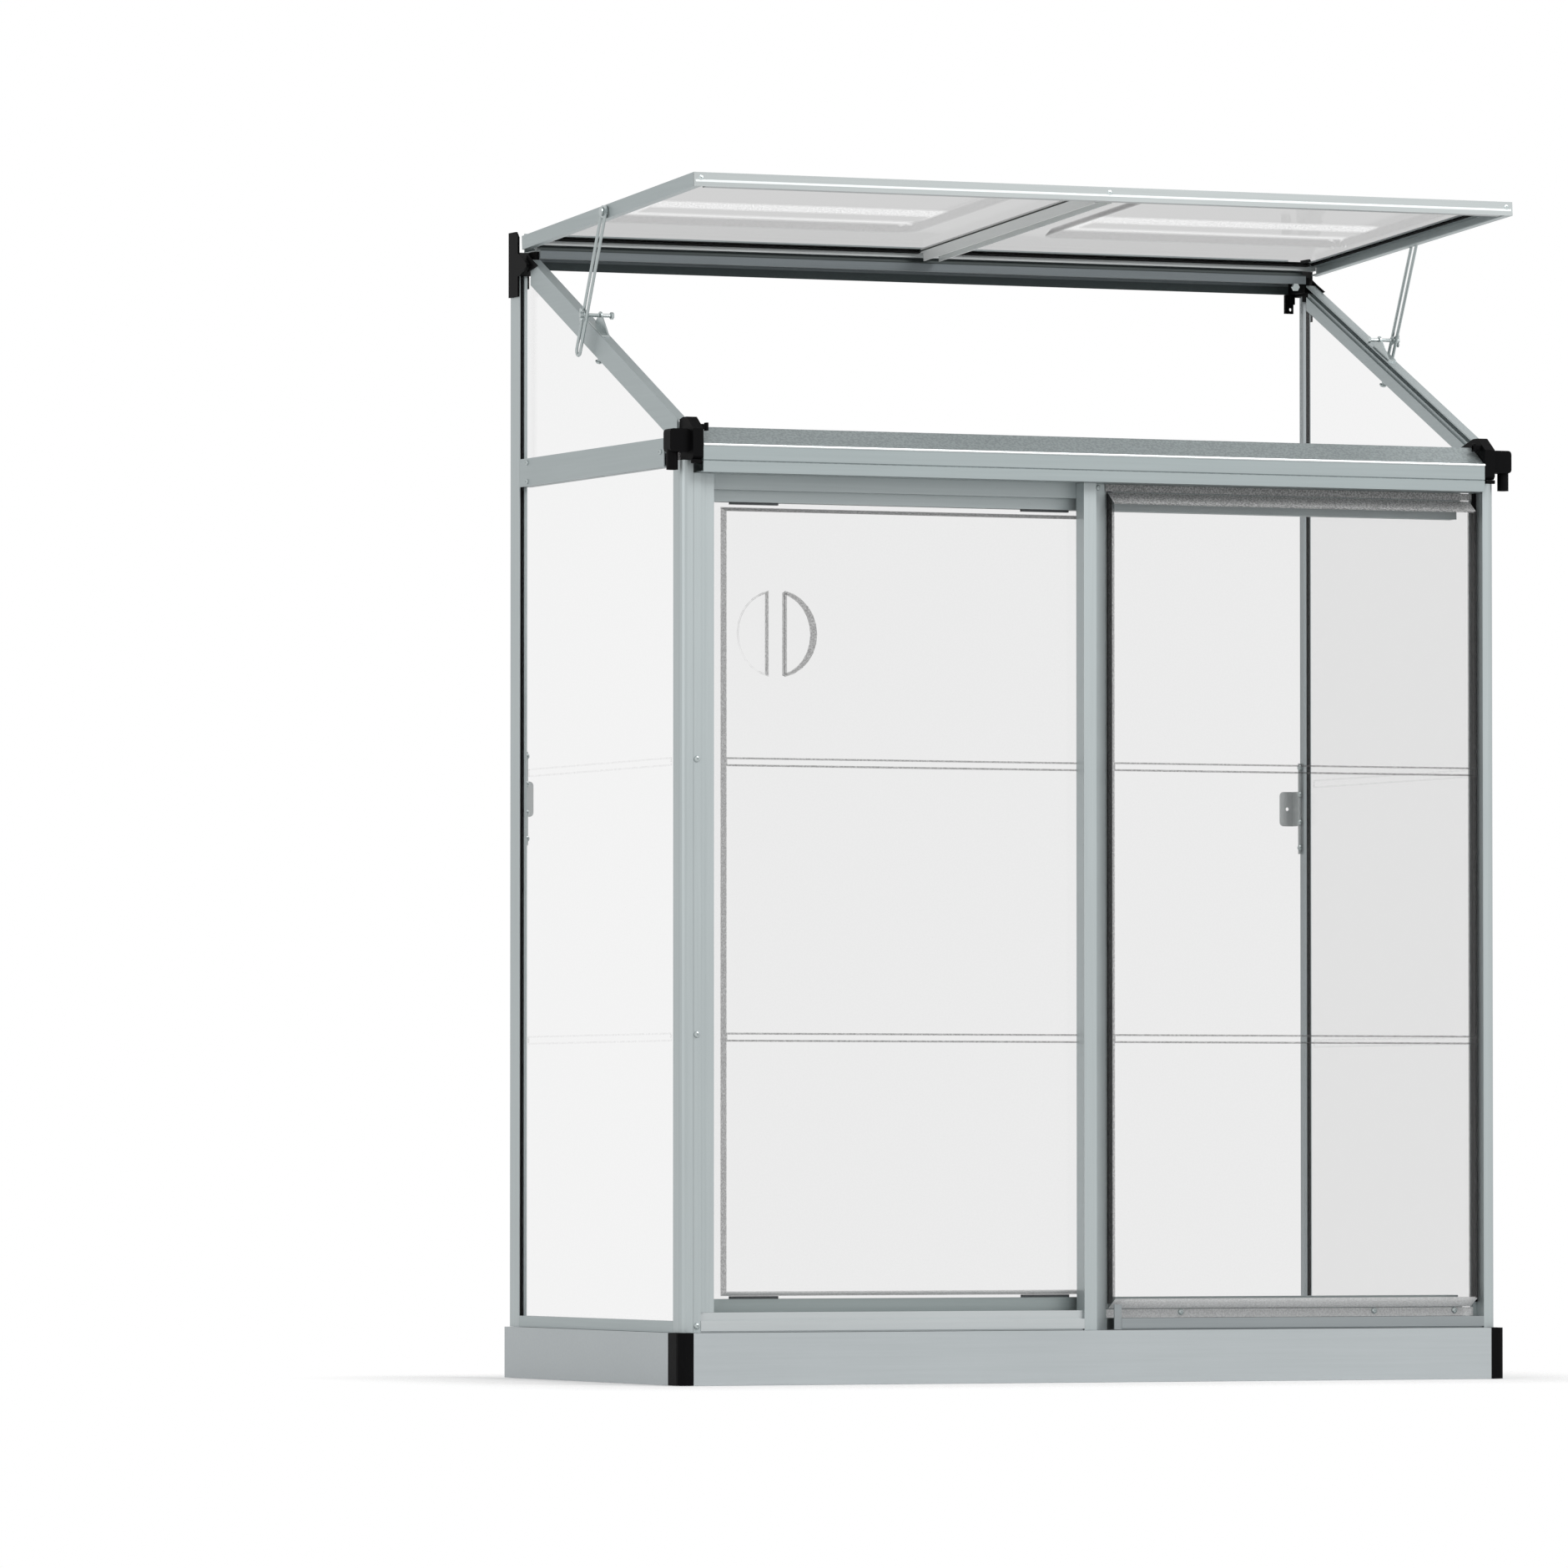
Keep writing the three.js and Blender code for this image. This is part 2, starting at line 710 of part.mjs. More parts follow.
function rearPostSeal() {
  return block([slotOuter, slotOuter + sealWidth], [rearPostFront, rearSlotBack - gap],
    [sideRailTop + gap, rearPostTop - gap]);
}

// Closing profile between the left post and the door
function doorJamb() {
  const front = postFront;
  const second = front + jambStepDepth;
  const third = second + jambStepDepth;
  const outer = postInner - gap;
  const outline = [
    [outer, front], [jambStepOne, front], [jambStepOne, second], [jambStepTwo, second],
    [jambStepTwo, third], [jambInner, third], [jambInner, jambBack], [jambInner + wall, jambBack],
    [jambInner + wall, third + wall], [jambStepTwo + wall, third + wall], [jambStepTwo + wall, second + wall],
    [jambStepOne + wall, second + wall], [jambStepOne + wall, front + wall],
    [outer - wall, front + wall], [outer - wall, jambBack], [outer, jambBack],
  ];
  const profile = alongZ(outline, deck, jambTop);
  const sillRoom = block([0, jambStepOne + gap], [0, jambBack + overrun], [0, jambNotchTop]);
  return mirrored(cut(profile, sillRoom));
}

// Side rails and glazing
function sideRail() {
  const outline = [
    [sideRailInner, deck], [postOuter, deck], [postOuter, sideRailTop], [slotOuter, sideRailTop],
    [slotOuter, sideRailTop - wall], [postOuter - wall, sideRailTop - wall], [postOuter - wall, deck + wall],
    [sideRailInner + wall, deck + wall], [sideRailInner + wall, sideRailTop - wall],
    [slotInner, sideRailTop - wall], [slotInner, sideRailTop], [sideRailInner, sideRailTop],
  ];
  return alongY(outline, sideRailFront, rearPostFront - gap);
}

function midRail() {
  const webLow = (midRailBottom + midRailTop - wall) / 2;
  const webHigh = webLow + wall;
  const gableSlotInner = gablePanelInner - gap;
  const gableSlotOuter = gablePanelInner + sheet + gap;
  const outline = [
    [postOuter, midRailBottom], [postOuter, midRailTop], [gableSlotOuter, midRailTop],
    [gableSlotOuter, midRailTop - wall], [postOuter - wall, midRailTop - wall], [postOuter - wall, webHigh],
    [midRailInner + wall, webHigh], [midRailInner + wall, midRailTop - wall],
    [gableSlotInner, midRailTop - wall], [gableSlotInner, midRailTop], [midRailInner, midRailTop],
    [midRailInner, midRailBottom], [slotInner, midRailBottom], [slotInner, midRailBottom + wall],
    [midRailInner + wall, midRailBottom + wall], [midRailInner + wall, webLow], [postOuter - wall, webLow],
    [postOuter - wall, midRailBottom + wall], [slotOuter, midRailBottom + wall], [slotOuter, midRailBottom],
  ];
  return alongY(outline, midRailFront, rearPostFront - gap);
}

function ribbedFace(inner, low, high, ribHeight) {
  const front = [[0, low]];
  const back = [[sheet, low]];
  for (const start of [ribLow, ribHigh]) {
    const bend = [
      [0, start], [ribHeight, start + ribSlope],
      [ribHeight, start + ribWidth - ribSlope], [0, start + ribWidth],
    ];
    front.push(...bend.map(([rise, z]) => [-rise, z]));
    back.push(...bend.map(([rise, z]) => [sheet - rise, z]));
  }
  front.push([0, high]);
  back.push([sheet, high]);
  return [...front, ...back.reverse()].map(([across, z]) => [inner + across, z]);
}

function sidePanel() {
  const low = deck + wall + gap;
  const high = (midRailBottom + midRailTop - wall) / 2 - gap;
  const field = ribbedFace(sidePanelInner, low, high, -sideRibHeight);
  const middle = alongY(field, sideRailFront + overrun, rearPostFront - overrun);
  const xs = [sidePanelInner, sidePanelInner + sheet];
  const front = block(xs, [sidePanelFront, sideRailFront + overrun + gap], [low, high]);
  const back = block(xs, [rearPostFront - overrun - gap, sidePanelBack], [low, high]);
  return join(middle, front, back);
}

function rafterTopAt(y) {
  return rafterFootZ + roofRiseShare * (y - rafterFront);
}

function gablePanel() {
  const drop = gableOverlap - rafterDepth / roofCosine;
  const topBack = rafterFront + (gablePanelTop - rafterFootZ - drop) / roofRiseShare;
  const low = midRailTop - gableSlotDepth;
  const outline = [
    [gablePanelFront, low], [gablePanelBack, low], [gablePanelBack, gablePanelTop],
    [topBack, gablePanelTop], [gablePanelFront, rafterTopAt(gablePanelFront) + drop],
  ];
  return alongX(outline, gablePanelInner, gablePanelInner + sheet);
}

// Roof edge
function sloped(outline) {
  return alongY(outline, -wallPlane, wallPlane).rotateX(Math.atan(roofRiseShare))
    .translate(0, rafterFront, rafterFootZ);
}

function slice(front, back) {
  return block([0, baseHalfWidth], [front, back], [0, ridgeWallTop + wallPlane]);
}

function rafter() {
  const step = rafterInner + rafterStepIn;
  const inside = rafterInner + rafterWeb;
  const web = rafterOuter - rafterWeb;
  const shelf = -rafterGroove - rafterWeb;
  const lower = -rafterStepDrop - rafterWeb;
  const lip = rafterWeb - rafterDepth;
  const panelInner = gablePanelInner - gap;
  const panelOuter = gablePanelInner + sheet + gap;
  const bar = sloped([
    [rafterOuter, 0], [rafterInner, 0], [rafterInner, -rafterWeb], [web, -rafterWeb], [web, -rafterGroove],
    [step, -rafterGroove], [step, -rafterStepDrop], [rafterInner, -rafterStepDrop], [rafterInner, -rafterDepth],
    [panelInner, -rafterDepth], [panelInner, lip], [inside, lip], [inside, lower], [step + rafterWeb, lower],
    [step + rafterWeb, shelf], [web, shelf], [web, lip], [panelOuter, lip], [panelOuter, -rafterDepth],
    [rafterOuter, -rafterDepth],
  ]);
  return cut(bar, slice(-wallPlane, rafterFront), slice(rafterBack, wallPlane + wallPlane));
}

// The rafter's room in the pieces that hold its ends, open upwards
function rafterRoom(front, back) {
  const inner = rafterInner - gap;
  const outer = rafterOuter + gap;
  const room = sloped([
    [inner, rafterDepth], [outer, rafterDepth], [outer, -rafterDepth - gap], [inner, -rafterDepth - gap],
  ]);
  return cut(room, slice(-wallPlane, front), slice(back, wallPlane + wallPlane));
}

function ridgeBeam() {
  const hinge = [hingeY, hingeZ];
  const rearWeb = backFace - ridgeWall;
  const neckFrontPoint = arc(hinge, cradleOuter, cradleStart, cradleStart, 1)[0];
  const neckBackPoint = arc(hinge, cradleOuter, cradleFoot, cradleFoot, 1)[0];
  const outline = [
    [ridgeFront + ridgeLip, ridgeFaceBottom], [ridgeFront, ridgeFaceBottom], [ridgeFront, ridgeTop],
    [neckFrontPoint[0] - neckHalf, ridgeTop], neckFrontPoint,
    ...arc(hinge, cradleInner, cradleStart, cradleEnd, cradleSteps),
    ...arc(hinge, cradleOuter, cradleEnd, cradleFoot, cradleSteps),
    [neckBackPoint[0], ridgeTop], [rearWeb, ridgeTop], [rearWeb, ridgeWallTop], [backFace, ridgeWallTop],
    [backFace, ridgeBottom], [rearWeb, ridgeBottom], [rearWeb, ridgeTop - ridgeWall],
    [ridgeFront + ridgeWall, ridgeTop - ridgeWall], [ridgeFront + ridgeWall, ridgeFaceBottom + ridgeWall],
    [ridgeFront + ridgeLip, ridgeFaceBottom + ridgeWall],
  ];
  return alongX(outline, -ridgeHalf, ridgeHalf);
}

function ridgeConnector() {
  const plate = alongX([
    [connectorPlateFront, connectorPlateBottom], [backFace, connectorPlateBottom],
    [backFace, connectorPlateTop], [connectorPlateFront + connectorBevel, connectorPlateTop],
    [connectorPlateFront, connectorPlateTop - connectorBevel],
  ], connectorInner, connectorOuter);
  const bodyBottom = rearPostTop + gap;
  const body = alongX([
    [connectorWingFront, connectorWingLow], [connectorWingFront, connectorWingTop],
    [connectorTopStep, connectorBodyTop], [backFace, connectorBodyTop], [backFace, bodyBottom],
    [connectorPlateFront, bodyBottom], [connectorPlateFront, connectorWingBottom],
    [connectorWingKnee, connectorWingBottom],
  ], gablePanelInner, connectorOuter);
  const inside = block([connectorInside, gablePanelInner + gap], [connectorInsideFront, backFace],
    [tabTop, connectorBodyTop]);
  const tabLink = block([connectorInside, tabOuter], [tabLinkFront, backFace],
    [gablePanelTop + gap, tabTop + gap]);
  const tab = block([tabInner, tabOuter], [backFace - tabThickness, backFace], [tabBottom, tabTop]);
  const hole = rodAlongY(tabHoleRadius, rearPostFront, wallPlane + overrun, tabHoleX, tabHoleZ, ringSides);
  return cut(join(plate, body, inside, tabLink, tab), hole, rafterRoom(0, rafterBack + gap));
}

function eaveRail() {
  const slope = (eaveRearTop - eaveLip) / (eaveRearFace - eaveWall - eaveFront);
  const innerLip = eaveLip - eaveWall + slope * eaveWall;
  const outline = [
    [eaveSlotFront, eaveBottom], [eaveFront, eaveBottom], [eaveFront, eaveGrooveZ - eaveGrooveDepth],
    [eaveFront + eaveGrooveDepth, eaveGrooveZ], [eaveFront, eaveGrooveZ + eaveGrooveDepth],
    [eaveFront, eaveLip], [eaveRearFace - eaveWall, eaveRearTop], [eaveRearFace, eaveRearTop],
    [eaveRearFace, eaveBottom], [eaveSlotBack, eaveBottom], [eaveSlotBack, eaveBottom + eaveWall],
    [eaveRearFace - eaveWall, eaveBottom + eaveWall],
    [eaveRearFace - eaveWall, eaveRearTop - eaveWall - slope * eaveWall],
    [eaveFront + eaveWall, innerLip - slope * eaveWall], [eaveFront + eaveWall, eaveBottom + eaveWall],
    [eaveSlotFront, eaveBottom + eaveWall],
  ];
  return alongX(outline, -eaveHalf, eaveHalf);
}

function gutterHead() {
  const body = alongX([
    [headFront, headNose], [headFront, headShoulder], [headPeakFront, headPeak], [headPeakBack, headPeak],
    [headBack, headBackTop], [headBack, headLow], [headSeatBack, headLow], [headSeatBack, headSeat],
    [headFront + headChin, headSeat],
  ], headInner, headOuter);
  const box = alongY(
    roundedRectangle([headOuter - gap, boxOuter], [boxBottom, boxTop], boxCorner), boxFront, boxBack);
  const spout = rodAlongZ(spoutRadius, spoutBottom, boxBottom + boxCorner, spoutX, spoutY, ringSides);
  const bore = rodAlongZ(spoutBore, spoutBottom - overrun, spoutBottom + spoutDepth, spoutX, spoutY, ringSides);
  return cut(join(body, box, spout), bore, rafterRoom(rafterFront - gap, wallPlane));
}

// Door tracks and sills
function topTrack() {
  const shelf = topTrackRoof - wall;
  const outline = [
    [topTrackFlangeFront, shelf], [topTrackFlangeFront, topTrackFlangeTop],
    [topTrackFlangeFront + wall, topTrackFlangeTop], [topTrackFlangeFront + wall, topTrackRoof],
    [trackBack, topTrackRoof], [trackBack, topTrackBottom], [trackSlotBack, topTrackBottom],
    [trackSlotBack, topTrackBottom + wall], [trackBack - wall, topTrackBottom + wall],
    [trackBack - wall, shelf], [trackFront + wall, shelf], [trackFront + wall, topTrackBottom + wall],
    [trackSlotFront, topTrackBottom + wall], [trackSlotFront, topTrackBottom], [trackFront, topTrackBottom],
    [trackFront, topTrackStep], [topTrackStepFront, topTrackStep], [topTrackStepFront, shelf],
  ];
  return alongX(outline, -trackHalf, trackHalf);
}

function bottomTrack() {
  const floorLow = bottomTrackFloor - wall;
  const outline = [
    [trackFront, deck], [trackFront, bottomTrackTop], [trackSlotFront, bottomTrackTop],
    [trackSlotFront, bottomTrackTop - wall], [trackFront + wall, bottomTrackTop - wall],
    [trackFront + wall, bottomTrackFloor], [trackBack - wall, bottomTrackFloor],
    [trackBack - wall, bottomTrackTop - wall], [trackSlotBack, bottomTrackTop - wall],
    [trackSlotBack, bottomTrackTop], [trackBack, bottomTrackTop], [trackBack, deck],
    [trackBack - wall, deck], [trackBack - wall, floorLow], [trackFront + wall, floorLow],
    [trackFront + wall, deck],
  ];
  return alongX(outline, -trackHalf, trackHalf);
}

function sillLeft() {
  const shelfLow = sillShelf - wall;
  const outline = [
    [sillBack, deck], [sillFootFront, deck], [sillFootFront, sillFootTop], [sillFront, sillFootTop],
    [sillFront, sillShelf], [sillLipFront, sillShelf], [sillLipFront, sillLip], [sillLipFront + wall, sillLip],
    [sillLipFront + wall, sillShelf], [sillBack, sillShelf],
    [sillBack, shelfLow], [sillFront + wall, shelfLow], [sillFront + wall, sillFootTop + wall],
    [sillFootFront + wall, sillFootTop + wall], [sillFootFront + wall, deck + wall], [sillBack, deck + wall],
  ];
  const sill = alongX(outline, -jambStepOne, centreLeft - gap);
  return cut(sill, block([-baseHalfWidth, -trackHalf], [sillRearLimit, wallPlane], [0, sillLip]));
}

function sillRight() {
  const shelfLow = sillShelf - wall;
  const outline = [
    [sillBack, deck], [sillFootFront, deck], [sillFootFront, sillFootTop], [sillFront, sillFootTop],
    [sillFront, sillShelf], [sillPanelBack - wall, sillShelf], [sillPanelBack - wall, sillPanelTop],
    [sillPanelBack, sillPanelTop], [sillPanelBack, sillShelf], [sillBack, sillShelf],
    [sillBack, shelfLow], [sillFront + wall, shelfLow], [sillFront + wall, sillFootTop + wall],
    [sillFootFront + wall, sillFootTop + wall], [sillFootFront + wall, deck + wall], [sillBack, deck + wall],
  ];
  const sill = alongX(outline, sillRightStart, postInner - gap);
  return cut(sill, block([trackHalf, baseHalfWidth], [sillRearLimit, wallPlane], [0, sillPanelTop + overrun]));
}

// Formed front panels
function trayPanel(size) {
  const { left, right, low, high, trayLeft, trayRight, trayLow, trayHigh, faceLow, faceHigh, face, flange } = size;
  const rim = block([left, right], [flange, flange + sheet], [low, high]);
  const opening = block([trayLeft + sheet, trayRight - sheet], [flange - overrun, flange + overrun],
    [trayLow + sheet, trayHigh - sheet]);
  const front = ribbedFace(face, faceLow, faceHigh, frontRibHeight);
  const half = front.length / 2;
  const outer = [...front.slice(0, half), [flange + sheet, trayHigh], [flange + sheet, trayLow]];
  const inner = [
    ...front.slice(half), [face + sheet, faceLow + sheet], [flange + sheet + gap, trayLow + sheet],
    [flange + sheet + gap, trayHigh - sheet], [face + sheet, faceHigh - sheet],
  ].filter(([y, z]) => y !== face + sheet || (z !== faceLow && z !== faceHigh));
  const shell = cut(alongX(outer, trayLeft, trayRight), alongX(inner, trayLeft + sheet, trayRight - sheet));
  return join(cut(rim, opening), shell);
}

function fixedPanel() {
  return trayPanel({
    left: fixedLeft, right: fixedRight, low: fixedBottom, high: fixedTop,
    trayLeft: fixedTrayLeft, trayRight: fixedTrayRight, trayLow: fixedTrayBottom, trayHigh: fixedTrayTop,
    faceLow: fixedFaceBottom, faceHigh: fixedFaceTop, face: fixedFaceFront, flange: fixedFlangeFront,
  });
}

function pullOutline(side, inset) {
  const radius = pullRadius - inset;
  const bar = pullBarHalf + inset;
  const swing = Math.acos(bar / radius);
  return arc([0, 0], radius, -swing, swing, pullSteps).map(([x, z]) => [side * x, z]);
}

// A pocket whose curved side leans in towards its back
function pullPocket(side, inset, from, to) {
  const outline = pullOutline(side, inset);
  const bar = side * (pullBarHalf + inset);
  const pocket = alongY(outline, from, to);
  const points = pocket.attributes.position;
  for (let index = 0; index < points.count; index += 1) {
    if (points.getY(index) > (from + to) / 2) {
      points.setX(index, bar + (points.getX(index) - bar) * pullBackShare);
      points.setZ(index, points.getZ(index) * pullHeightShare);
    }
  }
  return pocket.translate(pullX, 0, pullZ);
}

function doorPanel() {
  const panel = trayPanel({
    left: doorLeft, right: doorRight, low: doorBottom, high: doorTop,
    trayLeft: doorTrayLeft, trayRight: doorTrayRight, trayLow: doorTrayBottom, trayHigh: doorTrayTop,
    faceLow: doorFaceBottom, faceHigh: doorFaceTop, face: doorFaceFront, flange: doorFlangeFront,
  });
  const back = doorFaceFront + pullDepth;
  const shells = [-1, 1].map((side) => pullPocket(side, -sheet, doorFaceFront, back + sheet));
  const hollows = [-1, 1].map((side) => pullPocket(side, 0, doorFaceFront - gap, back));
  return cut(join(panel, ...shells), ...hollows);
}

function fixedSeal(left, right, front, back) {
  return block([left, right], [front, back], [sillPanelTop + gap, fixedTop]);
}

function doorGlide(left, low, high, slotLow, slotHigh) {
  const glide = block([left, left + glideLength], [glideFront, glideBack], [low, high]);
  const slot = block([left - overrun, left + glideLength + overrun], [glideSlotFront, glideSlotBack],
    [slotLow, slotHigh]);
  return cut(glide, slot);
}

// Lid
function raised(geometry) {
  return geometry.rotateX(-lidTilt).translate(0, hingeY, hingeZ);
}

function lidFrontRail() {
  const web = lidFront + wall;
  const outline = [
    [lidFrontFoot, lidRailBottom], [lidFront, lidRailBottom], [lidFront, lidRailTop],
    [lidFrontCap, lidRailTop], [lidFrontCap, lidCapLow], [web, lidCapLow], [web, lidLedgeTop],
    [lidFrontLedge, lidLedgeTop], [lidFrontLedge, lidLedgeLow], [web, lidLedgeLow],
    [web, lidRailBottom + wall], [lidFrontFoot, lidRailBottom + wall],
  ];
  const rail = alongX(outline, -lidHalf, lidHalf);
  const sides = [[-lidHalf - overrun, -lidCornerInner], [lidCornerInner, lidHalf + overrun]];
  return raised(cut(rail, ...sides.map((xs) => block(xs, [web, overrun], [-overrun, overrun]))));
}

function lidRearRail() {
  const swing = Math.asin(neckHalf / beadRadius);
  const outline = [
    ...arc([0, 0], beadRadius, halfTurn + swing, halfTurn + fullTurn - swing, ringSides),
    [neckFront, neckHalf], [neckFront, lidRailTop], [neckFront - wall, lidRailTop],
    [neckFront - wall, rearWebLow], [neckFront, rearWebLow], [neckFront, -neckHalf],
  ];
  return raised(alongX(outline, -rearRailHalf, rearRailHalf));
}

function lidSideRail() {
  const web = lidHalf - wall;
  const outline = [
    [lidHalf, lidRailBottom], [lidHalf, lidRailTop], [lidSideCap, lidRailTop], [lidSideCap, lidCapLow],
    [web, lidCapLow], [web, lidLedgeTop], [lidSideLedge, lidLedgeTop], [lidSideLedge, lidLedgeLow],
    [web, lidLedgeLow], [web, lidRailBottom + wall], [lidSideFoot, lidRailBottom + wall],
    [lidSideFoot, lidRailBottom],
  ];
  const rail = alongY(outline, lidSideFront, lidSideBack);
  const rearRailRoom = block([0, rearRailHalf + gap], [neckFront - wall - gap, 0], [-overrun, overrun]);
  return raised(cut(rail, rearRailRoom));
}

function lidMidBar() {
  const half = lidBarHalf;
  const outline = [
    [-half, lidRailTop], [half, lidRailTop], [half, lidCapLow], [lidBarWeb, lidCapLow],
    [lidBarWeb, lidLedgeTop], [half, lidLedgeTop], [half, lidRailBottom], [half - wall, lidRailBottom],
    [half - wall, lidLedgeLow], [wall - half, lidLedgeLow], [wall - half, lidRailBottom],
    [-half, lidRailBottom], [-half, lidLedgeTop], [-lidBarWeb, lidLedgeTop], [-lidBarWeb, lidCapLow],
    [-half, lidCapLow],
  ];
  const bar = alongY(outline, lidBarFront, lidBarBack);
  const relief = block([-half - overrun, half + overrun], [lidBarRelief, overrun], [-overrun, lidLedgeLow]);
  return raised(cut(bar, relief));
}

function lidPanel() {
  const front = lidFront + wall + gap;
  const border = block([lidPanelInner, lidPanelOuter], [front, lidPanelBack], [lidPanelLow, lidPanelLow + sheet]);
  const tray = (inset, low, high) => alongZ(roundedRectangle(
    [lidPanelInner + lidTrayBar + inset, lidPanelOuter - lidTraySide - inset],
    [lidTrayFront + inset, lidTrayBack - inset], lidTrayCorner - inset / 2), low, high);
  const outer = join(tray(0, lidPanelLow, lidTrayLow), tray(lidTrayStep, lidPanelLow, lidTrayHigh));
  const inner = join(
    tray(sheet, lidPanelLow - overrun, lidTrayLow - sheet),
    tray(lidTrayStep + sheet, lidPanelLow - overrun, lidTrayHigh - sheet));
  return raised(cut(join(border, outer), inner));
}

function lidSeal() {
  const outline = [
    [lidSealBack, lidSealLow], [lidSealFront, lidSealLow], [lidSealFront, lidLedgeTop],
    [lidSealRoot, lidLedgeTop], [lidSealRoot, lidCapLow], [lidSealFront, lidCapLow],
    [lidSealFront, lidSealHigh], [lidSealBack, lidSealHigh],
  ];
  return raised(alongX(outline, lidSealBar, lidSealSide));
}

// Wire stays
function stayPivot() {
  const face = stayPlane - wireRadius;
  const shank = rodAlongX(
    pivotShank, lidHalf + gap, stayPlane + wireRadius + gap * 2, stayPivotAlong, stayPivotUp, screwSides);
  const start = stayPlane + wireRadius + gap;
  const head = rodAlongX(pivotHead, start, start + pivotHeadLength, stayPivotAlong, stayPivotUp, screwSides);
  const collar = rodAlongX(pivotHead, lidHalf + gap, face - gap, stayPivotAlong, stayPivotUp, screwSides);
  return raised(join(shank, head, collar));
}

function stay() {
  const ring = alongX(arc([0, 0], eyeOuter, 0, fullTurn - fullTurn / ringSides, ringSides - 1),
    -wireRadius, wireRadius);
  const bore = rodAlongX(eyeInner, -overrun, overrun, 0, 0, ringSides);
  const legs = [-1, 1].map((side) => rodAlongZ(
    wireRadius, -stayLength - gap, 0, 0, side * wireHalfSpacing, wireSides));
  const circle = new THREE.Shape(
    arc([0, 0], wireRadius, 0, fullTurn - fullTurn / wireSides, wireSides - 1)
      .map(([a, b]) => new THREE.Vector2(a, b)));
  const bend = new THREE.CatmullRomCurve3(
    arc([0, -stayLength], wireHalfSpacing, halfTurn, fullTurn, bendSteps)
      .map(([y, z]) => new THREE.Vector3(0, y, z)));
  const hook = new THREE.ExtrudeGeometry(circle, { steps: bendSteps, extrudePath: bend, bevelEnabled: false });
  const loop = cut(join(ring, ...legs, hook), bore);
  return loop.rotateX(quarterTurn - stayTurn).translate(stayPlane, stayPivotY, stayPivotZ);
}

function stayBolt() {
  const bolt = rodAlongX(boltRadius, boltInner, boltOuter, boltY, boltZ, screwSides);
  const nut = rodAlongX(boltNutRadius, boltInner, boltInner + boltNutLength, boltY, boltZ, nutSides);
  return join(bolt, nut);
}

function stayRest() {
  const outer = earInner + earThickness;
  const ear = alongX([
    [earFootFront, rafterTopAt(earFootFront) + gap / roofCosine],
    [earFootBack, rafterTopAt(earFootBack) + gap / roofCosine],
    ...arc([boltY, boltZ], earRadius, 0, halfTurn, bendSteps),
  ], earInner, outer);
  const foot = alongX([
    [earFootFront, rafterTopAt(earFootFront) + gap / roofCosine],
    [earFootBack, rafterTopAt(earFootBack) + gap / roofCosine],
    [earFootBack, rafterTopAt(earFootBack) + earFootHeight],
    [earFootFront, rafterTopAt(earFootFront) + earFootHeight],
  ], earInner, earInner + earFootWidth);
  const hole = rodAlongX(boltRadius + gap, earInner - overrun, outer + overrun, boltY, boltZ, screwSides);
  return cut(join(ear, foot), hole);
}

// Wall brackets
function wallBracket() {
  const stripFront = rearBlockBack + gap;
  const strip = block([stripInner, stripOuter], [stripFront, stripFront + wall], [stripLow, stripHigh]);
  const web = block([bracketWebOuter - wall, bracketWebOuter], [stripFront, backFace], [bracketLow, bracketHigh]);
  const plate = alongY(
    roundedRectangle([plateInner, bracketWebOuter + plateCorner], [bracketLow, bracketHigh], plateCorner),
    backFace - wall, backFace);
  const trim = block([bracketWebOuter, bracketWebOuter + overrun], [backFace - overrun, wallPlane + overrun],
    [bracketLow - overrun, bracketHigh + overrun]);
  const hole = rodAlongY(plateHoleRadius, backFace - overrun / 2, wallPlane + overrun, plateHoleX,
    (bracketLow + bracketHigh) / 2, ringSides);
  return cut(join(strip, web, cut(plate, trim)), hole);
}

// Materials
function aluminium(shade) {
  return new THREE.MeshStandardMaterial({ color: shade, metalness: 0.75, roughness: 0.42 });
}

function coatedSheet() {
  return new THREE.MeshStandardMaterial({ color: 0xb4bfc1, metalness: 0.6, roughness: 0.48 });
}

function blackPlastic() {
  return new THREE.MeshStandardMaterial({ color: 0x1a1a1a, metalness: 0, roughness: 0.5 });
}

function rubber() {
  return new THREE.MeshStandardMaterial({ color: 0x101011, metalness: 0, roughness: 0.8 });
}

function steel() {
  return new THREE.MeshStandardMaterial({ color: 0xa9b3b3, metalness: 0.9, roughness: 0.32 });
}

function clearSheet() {
  return new THREE.MeshStandardMaterial({
    color: 0xeef2f2, metalness: 0, roughness: 0.06, transparent: true, opacity: 0.22,
  });
}

const silver = 0xaab6b7;
const paleSilver = 0xb6c1c3;

// Assembly
const assembly = new THREE.Group();
assembly.name = 'lean_to_greenhouse';

function add(name, geometry, material) {
  const mesh = new THREE.Mesh(geometry, material);
  mesh.name = name;
  assembly.add(mesh);
}

function addPair(name, make, makeMaterial) {
  add(`${name}_right`, make(), makeMaterial());
  add(`${name}_left`, mirrored(make()), makeMaterial());
}

const frameMetal = () => aluminium(silver);
const edgeMetal = () => aluminium(paleSilver);

